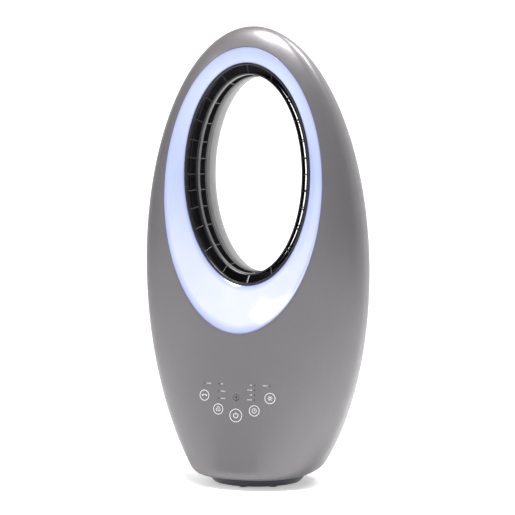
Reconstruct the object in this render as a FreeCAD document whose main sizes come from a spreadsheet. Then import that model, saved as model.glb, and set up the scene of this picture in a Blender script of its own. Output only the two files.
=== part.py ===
"""Oval bladeless fan on a swivel base, as a parametric FreeCAD document (millimetres).

The origin is on the swivel axis at floor level, +Z is up and the front faces -Y.
"""
import FreeCAD, Part
import math
import os
import re
import Sketcher
from FreeCAD import Placement, Rotation, Vector

DOC = FreeCAD.newDocument("oval_fan")
SHEET = DOC.addObject("Spreadsheet::Sheet", "sizes")
UP = Vector(0, 0, 1)
BACK = Vector(0, 1, 0)

# ---------------------------------------------------------------- driving dimensions
SIZES = {
    # whole object
    "total_height": 600.0,
    "underside_level": 13.0,
    "body_half_width": 152.3,
    "crown_height": 316.5,
    "keel_depth": 33.0,
    "corner_rise": 11.0,
    "corner_run": 11.0,
    "corner_fullness": 0.85,
    "front_depth": 73.3,
    "front_rise": 1.08,
    "front_roundness": 0.96,
    "rear_depth": 80.0,
    "rear_rise": 0.85,
    "rear_roundness": 1.30,
    "foot_depth": 84.0,
    "top_setback": 16.5,
    "wall": 2.8,
    "fit_gap": 0.3,
    "split_setback": 30.0,
    # air opening and light crescent
    "opening_half_width": 85.0,
    "opening_half_height": 142.0,
    "opening_drop": 193.0,
    "rim_setback": 40.0,
    "rim_width": 2.4,
    "light_side_margin": 24.4,
    "light_top_margin": 22.6,
    "light_bottom_margin": 62.6,
    "light_thickness": 2.2,
    "reflector_drop": 6.6,
    "board_drop": 5.0,
    "sheet_thickness": 1.2,
    "led_count": 36,
    "led_width": 3.5,
    "led_height": 0.9,
    "rib_count": 24,
    "rib_width": 1.2,
    "keel_rib_width": 3.2,
    "channel_depth": 47.0,
    "channel_reach": 15.6,
    "channel_wall": 1.8,
    "throat_inset": 14.0,
    "flare_rate": 0.0045,
    "flare_reach": 84.0,
    "flare_wall": 2.4,
    # swivel base
    "foot_count": 8,
    "foot_radius": 6.0,
    "foot_circle": 49.0,
    "foot_height": 3.5,
    "base_level": 1.5,
    "base_foot_radius": 58.0,
    "base_top_radius": 67.0,
    "base_gap": 0.8,
    "base_wall": 2.4,
    "cover_thickness": 2.0,
    "weight_radius": 44.0,
    "weight_thickness": 3.8,
    "washer_inner_radius": 44.0,
    "washer_outer_radius": 60.0,
    "washer_gap": 0.1,
    "post_radius": 9.0,
    "post_bore": 6.0,
    "post_flange": 7.0,
    "post_top": 33.5,
    "bearing_gap": 0.08,
    "hub_wall": 5.0,
    "hub_rise": 11.0,
    "plate_overhang": 1.0,
    "plate_flange": 3.6,
    "plate_thickness": 2.5,
    "clip_thickness": 1.8,
    "clip_width": 4.0,
    "clip_groove": 1.0,
    "gland_radius": 3.9,
    "gland_bore": 2.6,
    "gland_length": 20.0,
    # swing drive
    "gear_module": 1.5,
    "gear_teeth": 32,
    "pinion_teeth": 12,
    "gear_width": 5.0,
    "gear_backlash": 0.25,
    "drive_shaft_radius": 2.5,
    "drive_motor_radius": 21.0,
    "drive_motor_height": 18.0,
    # blower
    "blower_setback": 6.0,
    "blower_radius": 64.0,
    "blower_wall": 2.0,
    "blower_level": 78.0,
    "blower_height": 120.0,
    "inlet_radius": 47.0,
    "leg_radius": 4.0,
    "leg_inset": 6.0,
    "grommet_height": 5.0,
    "impeller_gap": 7.0,
    "impeller_level": 88.0,
    "impeller_height": 34.0,
    "blade_count": 11,
    "blade_thickness": 1.4,
    "shaft_radius": 2.5,
    "hub_can_radius": 33.0,
    "hub_can_wall": 1.8,
    "vane_count": 9,
    "motor_radius": 27.0,
    "motor_height": 44.0,
    "neck_width": 94.0,
    "neck_depth": 26.0,
    "neck_waist_drop": 27.0,
    # intake at the back
    "intake_level": 118.0,
    "intake_half_width": 58.0,
    "intake_half_height": 68.0,
    "slot_pitch": 6.0,
    "slot_height": 2.8,
    "filter_thickness": 3.0,
    # controls
    "board_width": 100.0,
    "board_height": 56.0,
    "board_level": 90.0,
    "board_setback": 66.0,
    "board_thickness": 1.6,
    "key_pad_radius": 5.5,
    "power_key_level": 97.0,
    "inner_key_level": 104.0,
    "outer_key_level": 120.7,
    "inner_key_offset": 25.0,
    "outer_key_offset": 45.5,
    "light_pipe_radius": 0.9,
    "rosette_level": 120.6,
    "rosette_radius": 4.0,
    "rosette_hole_radius": 0.7,
    "power_board_width": 76.0,
    "power_board_depth": 28.0,
    "power_board_level": 24.0,
    "power_board_setback": 66.0,
    # fasteners
    "screw_radius": 1.5,
    "screw_head_radius": 2.8,
    "screw_head_height": 2.0,
    "screw_gap": 0.1,
    "post_boss_radius": 4.5,
    "post_edge_distance": 16.0,
    "screw_seat": 3.0,
    "screw_length": 14.0,
}

# heights of the casing's screw posts
SCREW_POST_LEVELS = (72.0, 215.0, 355.0, 462.0)
# directions of the blower's legs, in degrees from +X
LEG_ANGLES = (-29.0, 209.0, 50.0, 130.0)

# sizes that follow from the ones above
DERIVED = {
    "equator_level": "total_height - crown_height",
    "opening_level": "total_height - opening_drop",
    "opening_foot": "opening_level - opening_half_height",
    "light_half_width": "opening_half_width + light_side_margin",
    "light_half_height": "opening_half_height + (light_top_margin + light_bottom_margin) / 2",
    "light_level": "opening_level + (light_top_margin - light_bottom_margin) / 2",
    "neck_waist_level": "opening_foot - neck_waist_drop",
    "base_top": "underside_level - base_gap",
    "cover_top": "base_level + cover_thickness",
    "weight_top": "cover_top + weight_thickness",
    "housing_ceiling": "base_top - base_wall",
    "plate_top": "underside_level + wall + fit_gap + plate_thickness",
    "plate_radius": "base_top_radius + plate_overhang",
    "plate_flange_radius": "plate_radius + plate_flange",
    "post_flange_radius": "post_radius + post_flange",
    "hub_radius": "post_radius + hub_wall",
    "clip_radius": "post_radius + clip_width",
    "hub_top": "underside_level + hub_rise",
    "clip_level": "hub_top + 0.2",
    "gear_level": "clip_level + clip_thickness + 1.0",
    "gear_pitch_radius": "gear_module * gear_teeth / 2",
    "pinion_pitch_radius": "gear_module * pinion_teeth / 2",
    "drive_offset": "gear_pitch_radius + pinion_pitch_radius",
    "drive_motor_level": "gear_level + gear_width + 4.0",
    "blower_top": "blower_level + blower_height",
    "impeller_radius": "blower_radius - impeller_gap",
    "leg_circle": "blower_radius - leg_inset",
    "impeller_top": "impeller_level + impeller_height",
    "can_level": "impeller_top + 3.0",
    "motor_level": "can_level + 3.4",
    "motor_top": "motor_level + motor_height",
    "leg_foot": "plate_top + grommet_height",
    "gland_height": "foot_height + gland_radius + 0.1",
}


def fill_sheet():
    """Write every size into the sheet, one row each, with the size's name as its alias."""
    row = 1
    for name, value in SIZES.items():
        SHEET.set("A%d" % row, name.replace("_", " "))
        SHEET.set("B%d" % row, repr(value))
        SHEET.setAlias("B%d" % row, name)
        row += 1
    for name, formula in DERIVED.items():
        SHEET.set("A%d" % row, name.replace("_", " "))
        SHEET.set("B%d" % row, "=" + formula)
        SHEET.setAlias("B%d" % row, name)
        row += 1
    DOC.recompute()


fill_sheet()
NAMES = set(SIZES) | set(DERIVED)


def size(name):
    """The value of one named size."""
    return float(getattr(SHEET, name))


def formula(text):
    """An expression in the sheet's terms: each size's name gets the sheet's prefix."""
    return re.sub(r"[a-z][a-z_]+", lambda word: "sizes." + word.group(0)
                  if word.group(0) in NAMES else word.group(0), str(text))


# ---------------------------------------------------------------- helpers bound to the sheet
def bind(item, **expressions):
    """Tie properties of an object to expressions."""
    for name, text in expressions.items():
        item.setExpression(name, formula(text))


def place(item, x=0, y=0, z=0):
    """Tie an object's position to expressions."""
    for axis, text in (("x", x), ("y", y), ("z", z)):
        item.setExpression("Placement.Base." + axis, formula(text))
    return item


def cylinder(name, radius, height, x=0, y=0, z=0, along=UP):
    """A cylinder whose foot is at (x, y, z)."""
    item = DOC.addObject("Part::Cylinder", name)
    item.Placement = Placement(Vector(), Rotation(UP, along))
    bind(item, Radius=radius, Height=height)
    return place(item, x, y, z)


def box(name, length, width, height, x=0, y=0, z=0):
    """A box centred on (x, y) with its underside at z."""
    item = DOC.addObject("Part::Box", name)
    bind(item, Length=length, Width=width, Height=height)
    return place(item, "%s - (%s) / 2" % (x, length), "%s - (%s) / 2" % (y, width), z)


def cut(name, base, tool):
    """The base with the tool taken away."""
    item = DOC.addObject("Part::Cut", name)
    item.Base = base
    item.Tool = tool
    return item


def fuse(name, items):
    """Several objects joined into one."""
    item = DOC.addObject("Part::MultiFuse", name)
    item.Shapes = items
    return item


def group(name, items):
    """Several separate solids kept as one object."""
    item = DOC.addObject("Part::Compound", name)
    item.Links = items
    return item


def ring(name, outer, inner, height, x=0, y=0, z=0):
    """A flat ring or tube, upright."""
    rim = cylinder(name + "_rim", outer, height, x, y, z)
    bore = cylinder(name + "_bore", inner, height, x, y, z)
    return cut(name, rim, bore)


def circle_points(count, circle, first=0, turn=360):
    """Expressions for x and y of points spread on a circle."""
    for index in range(count):
        angle = first + turn * index / count
        yield index, "(%s) * cos(%.4f deg)" % (circle, angle), "(%s) * sin(%.4f deg)" % (circle, angle)


def turned(name, points, x=0, y=0):
    """A turned piece: a closed outline of (radius, level) expressions revolved about Z."""
    body = DOC.addObject("PartDesign::Body", name)
    sketch = body.newObject("Sketcher::SketchObject", name + "_outline")
    plane = [item for item in body.Origin.OriginFeatures if item.Role == "XZ_Plane"][0]
    sketch.AttachmentSupport = [(plane, "")]
    sketch.MapMode = "FlatFace"
    count = len(points)
    corners = [corner_value(radius, level) for radius, level in points]
    for index in range(count):
        start = corners[index]
        end = corners[(index + 1) % count]
        sketch.addGeometry(Part.LineSegment(start, end), False)
    for index in range(count):
        sketch.addConstraint(Sketcher.Constraint("Coincident", index, 2, (index + 1) % count, 1))
    for index, (radius, level) in enumerate(points):
        for kind, text, value in (("DistanceX", radius, corners[index].x),
                                  ("DistanceY", level, corners[index].y)):
            number = sketch.addConstraint(Sketcher.Constraint(kind, -1, 1, index, 1, value))
            sketch.setExpression("Constraints[%d]" % number, formula(text))
    turn = body.newObject("PartDesign::Revolution", name + "_turn")
    turn.Profile = sketch
    turn.ReferenceAxis = (sketch, ["V_Axis"])
    turn.Angle = 360
    return place(body, x, y, 0)


SCRATCH = DOC.addObject("Spreadsheet::Sheet", "scratch")


def corner_value(radius, level):
    """Numbers for a pair of expressions, worked out by the document's own sheet."""
    SCRATCH.set("A1", "=" + formula(radius))
    SCRATCH.set("A2", "=" + formula(level))
    SCRATCH.recompute()
    return Vector(float(SCRATCH.get("A1")), float(SCRATCH.get("A2")), 0)


def feature(name, shape):
    """A piece whose free-form shape is worked out here from the sheet's sizes."""
    item = DOC.addObject("Part::Feature", name)
    item.Shape = shape
    return item


# ---------------------------------------------------------------- the egg-shaped body
def egg_rows(inset):
    """Rows of control points up the body, moved inwards by the inset.

    Each row is (half width, front, side, rear, level, weight), all in one horizontal plane.
    """
    half_width = size("body_half_width") - inset
    crown = size("crown_height") - inset
    equator = size("equator_level")
    bottom = size("underside_level") + inset
    start = size("underside_level") + size("corner_rise")
    top = equator + crown
    keel = equator + size("keel_depth") - inset
    half_turn = -math.asin((start - equator) / keel) / 2
    middle = equator - keel * math.tan(half_turn)
    lean = size("top_setback") / (top - bottom)
    front = size("front_depth") - inset
    rear = size("rear_depth") - inset
    foot = size("foot_depth") - inset
    high_front = front * size("front_rise")
    high_rear = rear * size("rear_rise")
    reach = (equator - middle) / crown
    low_front = front + (front - high_front) * reach
    low_rear = rear + (rear - high_rear) * reach

    def side(level):
        return -lean * (level - bottom)

    lower = (half_width, -low_front, side(middle), low_rear, middle)
    edge = (half_width * math.cos(2 * half_turn), -foot, side(start), foot, start)
    share = (start - bottom) / (middle - start)
    corner = tuple(here - share * (above - here) for here, above in zip(edge, lower))
    run = size("corner_run")
    flat = (corner[0] - run, corner[1] + run, corner[2], corner[3] - run, corner[4])
    rows = [
        flat + (1.0,),
        corner + (size("corner_fullness"),),
        edge + (1.0,),
        lower + (math.cos(half_turn),),
        (half_width, -front, side(equator), rear, equator, 1.0),
        (half_width, -high_front, side(top), high_rear, top, math.sqrt(0.5)),
        (0.0, side(top), side(top), side(top), top, 1.0),
    ]
    return rows


def egg_patch(rows, facing, hand):
    """One curved quarter of one band: facing is front or rear, hand is 1 (right) or -1 (left)."""
    column = 1 if facing == "front" else 3
    roundness = size(facing + "_roundness")
    patch = Part.BezierSurface()
    patch.increase(2, 2)
    for index, row in enumerate(rows):
        level = row[4]
        poles = (Vector(hand * row[0], row[2], level), Vector(hand * row[0], row[column], level),
                 Vector(0, row[column], level))
        weights = (row[5], row[5] * roundness, row[5])
        for number in range(3):
            patch.setPole(index + 1, number + 1, poles[number], weights[number])
    return patch.toShape()


def egg(inset=0.0):
    """The closed body solid, its wall moved inwards by the inset."""
    rows = egg_rows(inset)
    faces = []
    for first in (0, 2, 4):
        for facing in ("front", "rear"):
            for hand in (1, -1):
                faces.append(egg_patch(rows[first:first + 3], facing, hand))
    floor_level = rows[0][4]
    edges = [edge for face in faces[:4] for edge in face.Edges
             if abs(edge.BoundBox.ZMin - floor_level) < 1e-6 and edge.BoundBox.ZLength < 1e-6]
    loop = Part.Wire(Part.__sortEdges__(edges))
    faces.append(Part.Face(loop))
    return closed(faces)


def closed(faces):
    """A solid from faces that meet edge to edge."""
    shell = Part.makeShell(faces)
    shell.sewShape(1e-4)
    solid = Part.makeSolid(Part.Shell(shell.Faces))
    if solid.Volume < 0:
        solid.reverse()
    return solid


def surface_at(x, level, facing="front", inset=0.0):
    """Where the body's front or rear surface stands (y) at a given x and height."""
    rows = egg_rows(inset)
    band = rows[2:5] if level < rows[4][4] else rows[4:7]

    def blend(share, column):
        basis = ((1 - share) ** 2, 2 * share * (1 - share), share ** 2)
        total = sum(weight * row[5] for weight, row in zip(basis, band))
        return sum(weight * row[5] * row[column] for weight, row in zip(basis, band)) / total

    share = solve(lambda value: blend(value, 4) - level)
    column = 1 if facing == "front" else 3
    half_width, skin, side_line = blend(share, 0), blend(share, column), blend(share, 2)
    roundness = size(facing + "_roundness")

    def across(value, poles):
        basis = ((1 - value) ** 2, 2 * roundness * value * (1 - value), value ** 2)
        return sum(weight * pole for weight, pole in zip(basis, poles)) / sum(basis)

    turn = solve(lambda value: abs(x) - across(value, (half_width, half_width, 0)))
    return across(turn, (side_line, skin, skin))


def solve(rising):
    """Where a rising function of 0..1 crosses zero."""
    low = 0.0
    high = 1.0
    for _ in range(40):
        middle = (low + high) / 2
        if rising(middle) < 0:
            low = middle
        else:
            high = middle
    return (low + high) / 2


# ---------------------------------------------------------------- oval rings round the opening
RIM_Y = -size("rim_setback")


def oval(inset, y):
    """An ellipse round the opening, moved inwards by the inset, in the plane at y."""
    wide = size("opening_half_width") - inset
    tall = size("opening_half_height") - inset
    centre = Vector(0, y, size("opening_level"))
    curve = Part.Ellipse(centre + Vector(0, 0, tall), centre + Vector(wide, 0, 0), centre)
    return curve.toShape()


def oval_ring(section):
    """A ring of constant section: (inset, depth behind the rim) corners, joined in a loop."""
    hoops = [oval(inset, RIM_Y + depth) for inset, depth in section]
    faces = []
    for number, hoop in enumerate(hoops):
        following = hoops[(number + 1) % len(hoops)]
        faces.append(Part.makeRuledSurface(hoop, following))
    return closed(faces)


def oval_plug(stations):
    """A solid core through the opening: (inset, y) stations from front to back."""
    hoops = [oval(inset, y) for inset, y in stations]
    faces = [Part.makeRuledSurface(one, two) for one, two in zip(hoops, hoops[1:])]
    faces.append(Part.Face(Part.Wire(hoops[0])))
    faces.append(Part.Face(Part.Wire(hoops[-1])))
    return closed(faces)


def flare_stations(extra):
    """The rear mouth's trumpet outline, grown outwards by the extra."""
    start = RIM_Y + size("channel_depth") + 0.2
    steps = 8
    stations = []
    for number in range(steps + 1):
        run = size("flare_reach") * number / steps
        stations.append((size("throat_inset") - size("flare_rate") * run ** 2 - extra, start + run))
    return stations


def trumpet(extra):
    """The rear mouth as a smooth solid core."""
    wires = [Part.Wire(oval(inset, y)) for inset, y in flare_stations(extra)]
    return Part.makeLoft(wires, True, False)


def behind(y):
    """Everything behind the plane at y, as a large block."""
    span = 2 * size("total_height")
    return Part.makeBox(span, span, span, Vector(-span / 2, y, -span / 4))


def half_shell(front):
    """The front or rear casing wall before its openings are cut."""
    wall = egg().cut(egg(size("wall")))
    block = behind(size("split_setback"))
    return wall.cut(block) if front else wall.common(block)


def upright_oval_prism(half_width, half_height, level, y_from, y_to):
    """An elliptic block along Y."""
    centre = Vector(0, y_from, level)
    tall = Vector(0, 0, half_height)
    wide = Vector(half_width, 0, 0)
    if half_height > half_width:
        curve = Part.Ellipse(centre + tall, centre + wide, centre)
    else:
        curve = Part.Ellipse(centre + wide, centre + tall, centre)
    return Part.Face(Part.Wire(curve.toShape())).extrude(Vector(0, y_to - y_from, 0))


# ---------------------------------------------------------------- casing
def along_y(x, level, radius, y_from, y_to):
    """A round bar along Y."""
    return Part.makeCylinder(radius, y_to - y_from, Vector(x, y_from, level), BACK)


def shell_post_places():
    """Where the casing's screw posts stand (x, level), close inside the casing's edge."""
    places = []
    head_room = size("split_setback") + size("screw_seat") + size("screw_head_height") + 2.0
    equator = size("equator_level")
    for level in SCREW_POST_LEVELS:
        drop = (level - equator) / (size("crown_height") if level > equator else equator + size("keel_depth"))
        reach = size("body_half_width") * math.sqrt(1 - drop ** 2) - size("post_edge_distance")
        while surface_at(reach, level, "rear") < head_room:
            reach -= 1.0
        places += [(reach, level), (-reach, level)]
    return places


def key_places():
    """The touch keys' centres (x, level), the power key first."""
    inner = size("inner_key_offset")
    outer = size("outer_key_offset")
    return [(0.0, size("power_key_level")),
            (inner, size("inner_key_level")), (-inner, size("inner_key_level")),
            (outer, size("outer_key_level")), (-outer, size("outer_key_level"))]


def indicator_places():
    """The indicator lights' centres (x, level)."""
    inner = size("inner_key_offset")
    outer = size("outer_key_offset")
    top = size("outer_key_level") + 16.0
    bottom = size("inner_key_level") + 14.0
    places = [(-outer, top), (outer, top)]
    places += [(-inner, top - step * (top - bottom) / 2) for step in range(3)]
    places += [(inner, top - step * (top - bottom) / 3) for step in range(4)]
    return places


def rosette_places():
    """The small sound holes' centres (x, level), round the middle one."""
    level = size("rosette_level")
    radius = size("rosette_radius")
    return [(radius * math.cos(math.radians(45 * n)), level + radius * math.sin(math.radians(45 * n)))
            for n in range(8)]


def intake_prism(gap, y_from, y_to):
    """The intake window's oval block at the back, smaller than the window by the gap."""
    return upright_oval_prism(size("intake_half_width") - gap, size("intake_half_height") - gap,
                              size("intake_level"), y_from, y_to)


def front_shell_shape():
    """Front casing: egg wall, light crescent's opening, key panel holes and screw posts."""
    far = -size("total_height")
    split = size("split_setback")
    shape = half_shell(True)
    slack = size("fit_gap") / 2
    hole = upright_oval_prism(size("light_half_width") + slack, size("light_half_height") + slack,
                              size("light_level"), far, RIM_Y / 2)
    tools = [hole, round_core(size("plate_radius") + size("fit_gap"), 0.0, size("plate_top"))]
    pipe = size("light_pipe_radius") + size("screw_gap")
    front = -size("front_depth")
    for x, level in indicator_places():
        tools.append(along_y(x, level, pipe, 2 * front, front / 2))
    for x, level in rosette_places():
        tools.append(along_y(x, level, size("rosette_hole_radius"), 2 * front, front / 2))
    tools.append(along_y(0, size("rosette_level"), 1.7 * size("rosette_hole_radius"), 2 * front, front / 2))
    shape = shape.cut(tools)
    posts = []
    pilots = []
    for x, level in shell_post_places():
        posts.append(along_y(x, level, size("post_boss_radius"), front, split))
        pilots.append(along_y(x, level, size("screw_radius") + size("screw_gap"),
                              split - size("screw_length") - 2.0, split))
    inside = egg(size("wall") / 2)
    posts = Part.makeCompound(posts).common(inside)
    return tidy(shape.fuse(posts.Solids).cut(pilots))


def round_core(radius, z_from, z_to, y=0.0):
    """A round block on the swivel axis."""
    return Part.makeCylinder(radius, z_to - z_from, Vector(0, y, z_from), UP)


def rear_shell_shape():
    """Rear casing: egg wall, trumpet-shaped mouth, intake window and screw sockets."""
    split = size("split_setback")
    far = size("total_height")
    body = egg()
    shape = half_shell(False)
    mouth = trumpet(0.0)
    lip = trumpet(size("flare_wall")).cut(mouth).common(body)
    boss_radius = size("post_boss_radius")
    sockets = []
    bores = []
    for x, level in shell_post_places():
        sockets.append(along_y(x, level, boss_radius, split + 0.1, far / 2))
        bores.append(along_y(x, level, size("screw_radius") + size("screw_gap"), split, far / 2))
        bores.append(along_y(x, level, size("screw_head_radius") + size("screw_gap"),
                             split + size("screw_seat"), far / 2))
    sockets = Part.makeCompound(sockets).common(body)
    shape = shape.cut(trumpet(size("flare_wall") / 2))
    shape = shape.fuse([lip] + sockets.Solids)
    floor_hole = round_core(size("plate_radius") + size("fit_gap"), 0.0, size("plate_top"))
    return tidy(shape.cut(bores + [intake_prism(0.0, split, far), floor_hole]))


def tidy(shape):
    """One clean solid."""
    shape = shape.removeSplitter()
    solids = sorted(shape.Solids, key=lambda solid: -solid.Volume)
    return solids[0] if len(solids) == 1 else Part.makeCompound(solids)


def intake_grille_shape():
    """Curved intake panel with level air slots, set in the rear casing's window."""
    split = size("split_setback")
    far = size("total_height")
    panel = egg().cut(egg(size("wall"))).common(intake_prism(size("fit_gap"), split, far))
    pitch = size("slot_pitch")
    tall = size("intake_half_height") - 6.0
    wide = size("intake_half_width") - 6.0
    level = size("intake_level")
    slots = []
    for row in range(-int(tall / pitch), int(tall / pitch) + 1):
        middle = row * pitch
        reach = wide * math.sqrt(max(0.0, 1 - (middle / tall) ** 2))
        for hand in (-1, 1):
            length = reach - 2.0
            if length > 5.0:
                low = 2.0 if hand > 0 else -2.0 - length
                corner = Vector(low, split, level + middle - size("slot_height") / 2)
                slots.append(Part.makeBox(length, far, size("slot_height"), corner))
    return tidy(panel.cut(slots))


def dust_filter_shape():
    """Foam sheet that follows the casing behind the intake panel."""
    near = size("wall") + size("fit_gap")
    sheet = egg(near).cut(egg(near + size("filter_thickness")))
    return tidy(sheet.common(intake_prism(2.0, size("split_setback") + 4.0, size("total_height"))))


def screws_along_y(places, seat, length):
    """Pan-head screws driven forwards from the back."""
    solids = []
    for x, level in places:
        shank = along_y(x, level, size("screw_radius"), seat - length, seat)
        head = along_y(x, level, size("screw_head_radius"), seat, seat + size("screw_head_height"))
        socket = along_y(x, level, size("screw_radius") * 0.6, seat + 0.8, seat + 5.0)
        solids.append(shank.fuse(head).cut(socket))
    return Part.makeCompound(solids)


# ---------------------------------------------------------------- light crescent
def light_hoops(shift, start, end):
    """Two closed curves on the crescent's funnel, moved back along Y by the shift.

    Start and end are shares of the way from the crescent's outer edge to its inner edge.
    """
    count = 48
    gap = size("fit_gap")
    wide = size("opening_half_width") + size("rim_width") + gap
    tall = size("opening_half_height") + size("rim_width") + gap
    first = []
    second = []
    for number in range(count):
        angle = 2 * math.pi * number / count
        x = (size("light_half_width") - gap) * math.sin(angle)
        level = size("light_level") + (size("light_half_height") - gap) * math.cos(angle)
        outer = Vector(x, surface_at(x, level) + shift, level)
        inner = Vector(wide * math.sin(angle), RIM_Y + shift,
                       size("opening_level") + tall * math.cos(angle))
        first.append(outer + (inner - outer) * start)
        second.append(outer + (inner - outer) * end)
    curves = []
    for points in (first, second):
        curve = Part.BSplineCurve()
        curve.interpolate(Points=points, PeriodicFlag=True)
        curves.append(curve.toShape())
    return curves


def funnel(shift, thickness, start=0.0, end=1.0):
    """A funnel-shaped sheet that follows the crescent, a shift behind its face."""
    outer, inner = light_hoops(shift, start, end)
    back_outer, back_inner = light_hoops(shift + thickness, start, end)
    pairs = ((outer, inner), (inner, back_inner), (back_inner, back_outer), (back_outer, outer))
    return closed([Part.makeRuledSurface(one, two) for one, two in pairs])


def led_shapes():
    """Light-emitting chips spread along the ring board."""
    solids = []
    count = int(size("led_count"))
    width = size("led_width")
    outer, inner = light_hoops(size("board_drop"), 0.2, 0.85)
    for number in range(count):
        share = number / count
        points = []
        for curve in (outer, inner):
            low, high = curve.ParameterRange
            points.append(curve.valueAt(low + (high - low) * share))
        middle = (points[0] + points[1]) * 0.5
        slope = (points[1] - points[0]).normalize()
        along = curve.tangentAt(low + (high - low) * share)
        backward = along.cross(slope).normalize()
        side = slope.cross(backward)
        chip = Part.makeBox(width, size("led_height"), width,
                            Vector(-width / 2, -size("led_height"), -width / 2))
        chip.Placement = Placement(middle - backward * 0.1, Rotation(slope, backward, side, "XYZ"))
        solids.append(chip)
    return Part.makeCompound(solids)


# ---------------------------------------------------------------- air outlet and channel
def outlet_grille_shape():
    """Black ribbed outlet: front rim with its flange, bead ring, rear ring and the ribs."""
    reach = size("channel_reach")
    rim_edge = -size("rim_width")
    rim = [(rim_edge, 0), (0, 0), (0.9, 2.2), (-0.8, 2.2), (-0.8, 11), (-reach, 11), (-reach, 9),
           (rim_edge, 9)]
    bead = [(9.6, 9.8), (10.6, 8.8), (12.4, 10.6), (12.6, 18.4), (11.4, 20), (9.6, 19)]
    back = [(11.9, 33), (13.6, 33), (13.6, 35.8), (11.9, 35.8)]
    shapes = [oval_ring(section) for section in (rim, bead, back)]
    front_leg = [(-1.6, 1.2), (0.3, 1.2), (10.4, 9.6), (10.4, 12.6), (9.0, 12.6), (-1.6, 4.4)]
    rear_leg = [(10.6, 17.0), (12.2, 17.0), (13.2, 34.2), (12.2, 34.2)]
    count = int(size("rib_count"))
    for number in range(count):
        polar = 2 * math.pi * number / count
        width = size("keel_rib_width") if number == 3 * count // 4 else size("rib_width")
        shapes.append(rib(polar, front_leg, width))
        shapes.append(rib(polar, rear_leg, size("rib_width")))
    return tidy(shapes[0].fuse(shapes[1:]))


def rib(polar, section, width):
    """A flat rib standing across the slots at a polar angle: (inset, depth) corners."""
    wide = size("opening_half_width")
    tall = size("opening_half_height")
    turn = math.atan2(wide * math.sin(polar), tall * math.cos(polar))
    across = Vector(-math.sin(turn), 0, math.cos(turn))
    points = []
    for inset, depth in section:
        point = Vector((wide - inset) * math.cos(turn), RIM_Y + depth,
                       size("opening_level") + (tall - inset) * math.sin(turn))
        points.append(point - across * (width / 2))
    face = Part.Face(Part.makePolygon(points + points[:1]))
    return face.extrude(across * width)


def neck_slot(extra, low, high):
    """The neck's upper end: an upright elliptic block under the channel, grown by the extra."""
    centre = Vector(0, RIM_Y + (11.0 + size("channel_depth")) / 2, low)
    half_width = size("neck_width") / 2 + extra
    half_depth = size("neck_depth") / 2 + extra
    mouth = Part.Ellipse(centre + Vector(half_width, 0, 0), centre + Vector(0, half_depth, 0), centre)
    wire = Part.Wire(mouth.toShape())
    return wire, Part.Face(wire).extrude(Vector(0, 0, high - low))


def neck_block(extra, low, high):
    """The neck's core: a round foot on the blower that turns into the upright slot."""
    radius = size("blower_radius") - size("blower_wall") + extra
    foot = Part.Wire(Part.Circle(Vector(0, size("blower_setback"), low), UP, radius).toShape())
    waist = size("neck_waist_level")
    wire, slot = neck_slot(extra, waist, high)
    return Part.makeLoft([foot, wire], True, False).fuse(slot)


def channel_core(gap):
    """The space that the air channel fills, out to its outer wall, as a solid with the gap added."""
    outside = -size("channel_reach") - gap
    front = RIM_Y + 10.0
    back = RIM_Y + size("channel_depth") + 1.0
    return oval_plug([(outside, front), (outside, back)])


def air_channel_shape():
    """Oval air channel: a U-shaped gutter round the opening with an inlet at its lowest point."""
    deep = size("channel_depth")
    wall = size("channel_wall")
    reach = size("channel_reach")
    inset = size("throat_inset")
    gutter = [(inset, 36.1), (inset - wall, 36.1), (inset - wall, deep - wall), (-reach + wall, deep - wall),
              (-reach + wall, 11.2), (-reach, 11.2), (-reach, deep), (inset, deep)]
    top = size("opening_foot") + 20.0
    passage = neck_slot(-0.2, size("neck_waist_level"), top)[1]
    return tidy(oval_ring(gutter).cut(passage))


def air_neck_shape():
    """Duct that leads the air from the blower up into the oval channel."""
    top = size("opening_foot") + 22.0
    low = size("blower_top") + 0.3
    wall = size("blower_wall")
    duct = neck_block(wall, low, top).cut(neck_block(0.0, low, top))
    return tidy(duct.cut(channel_core(0.3)))


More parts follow.
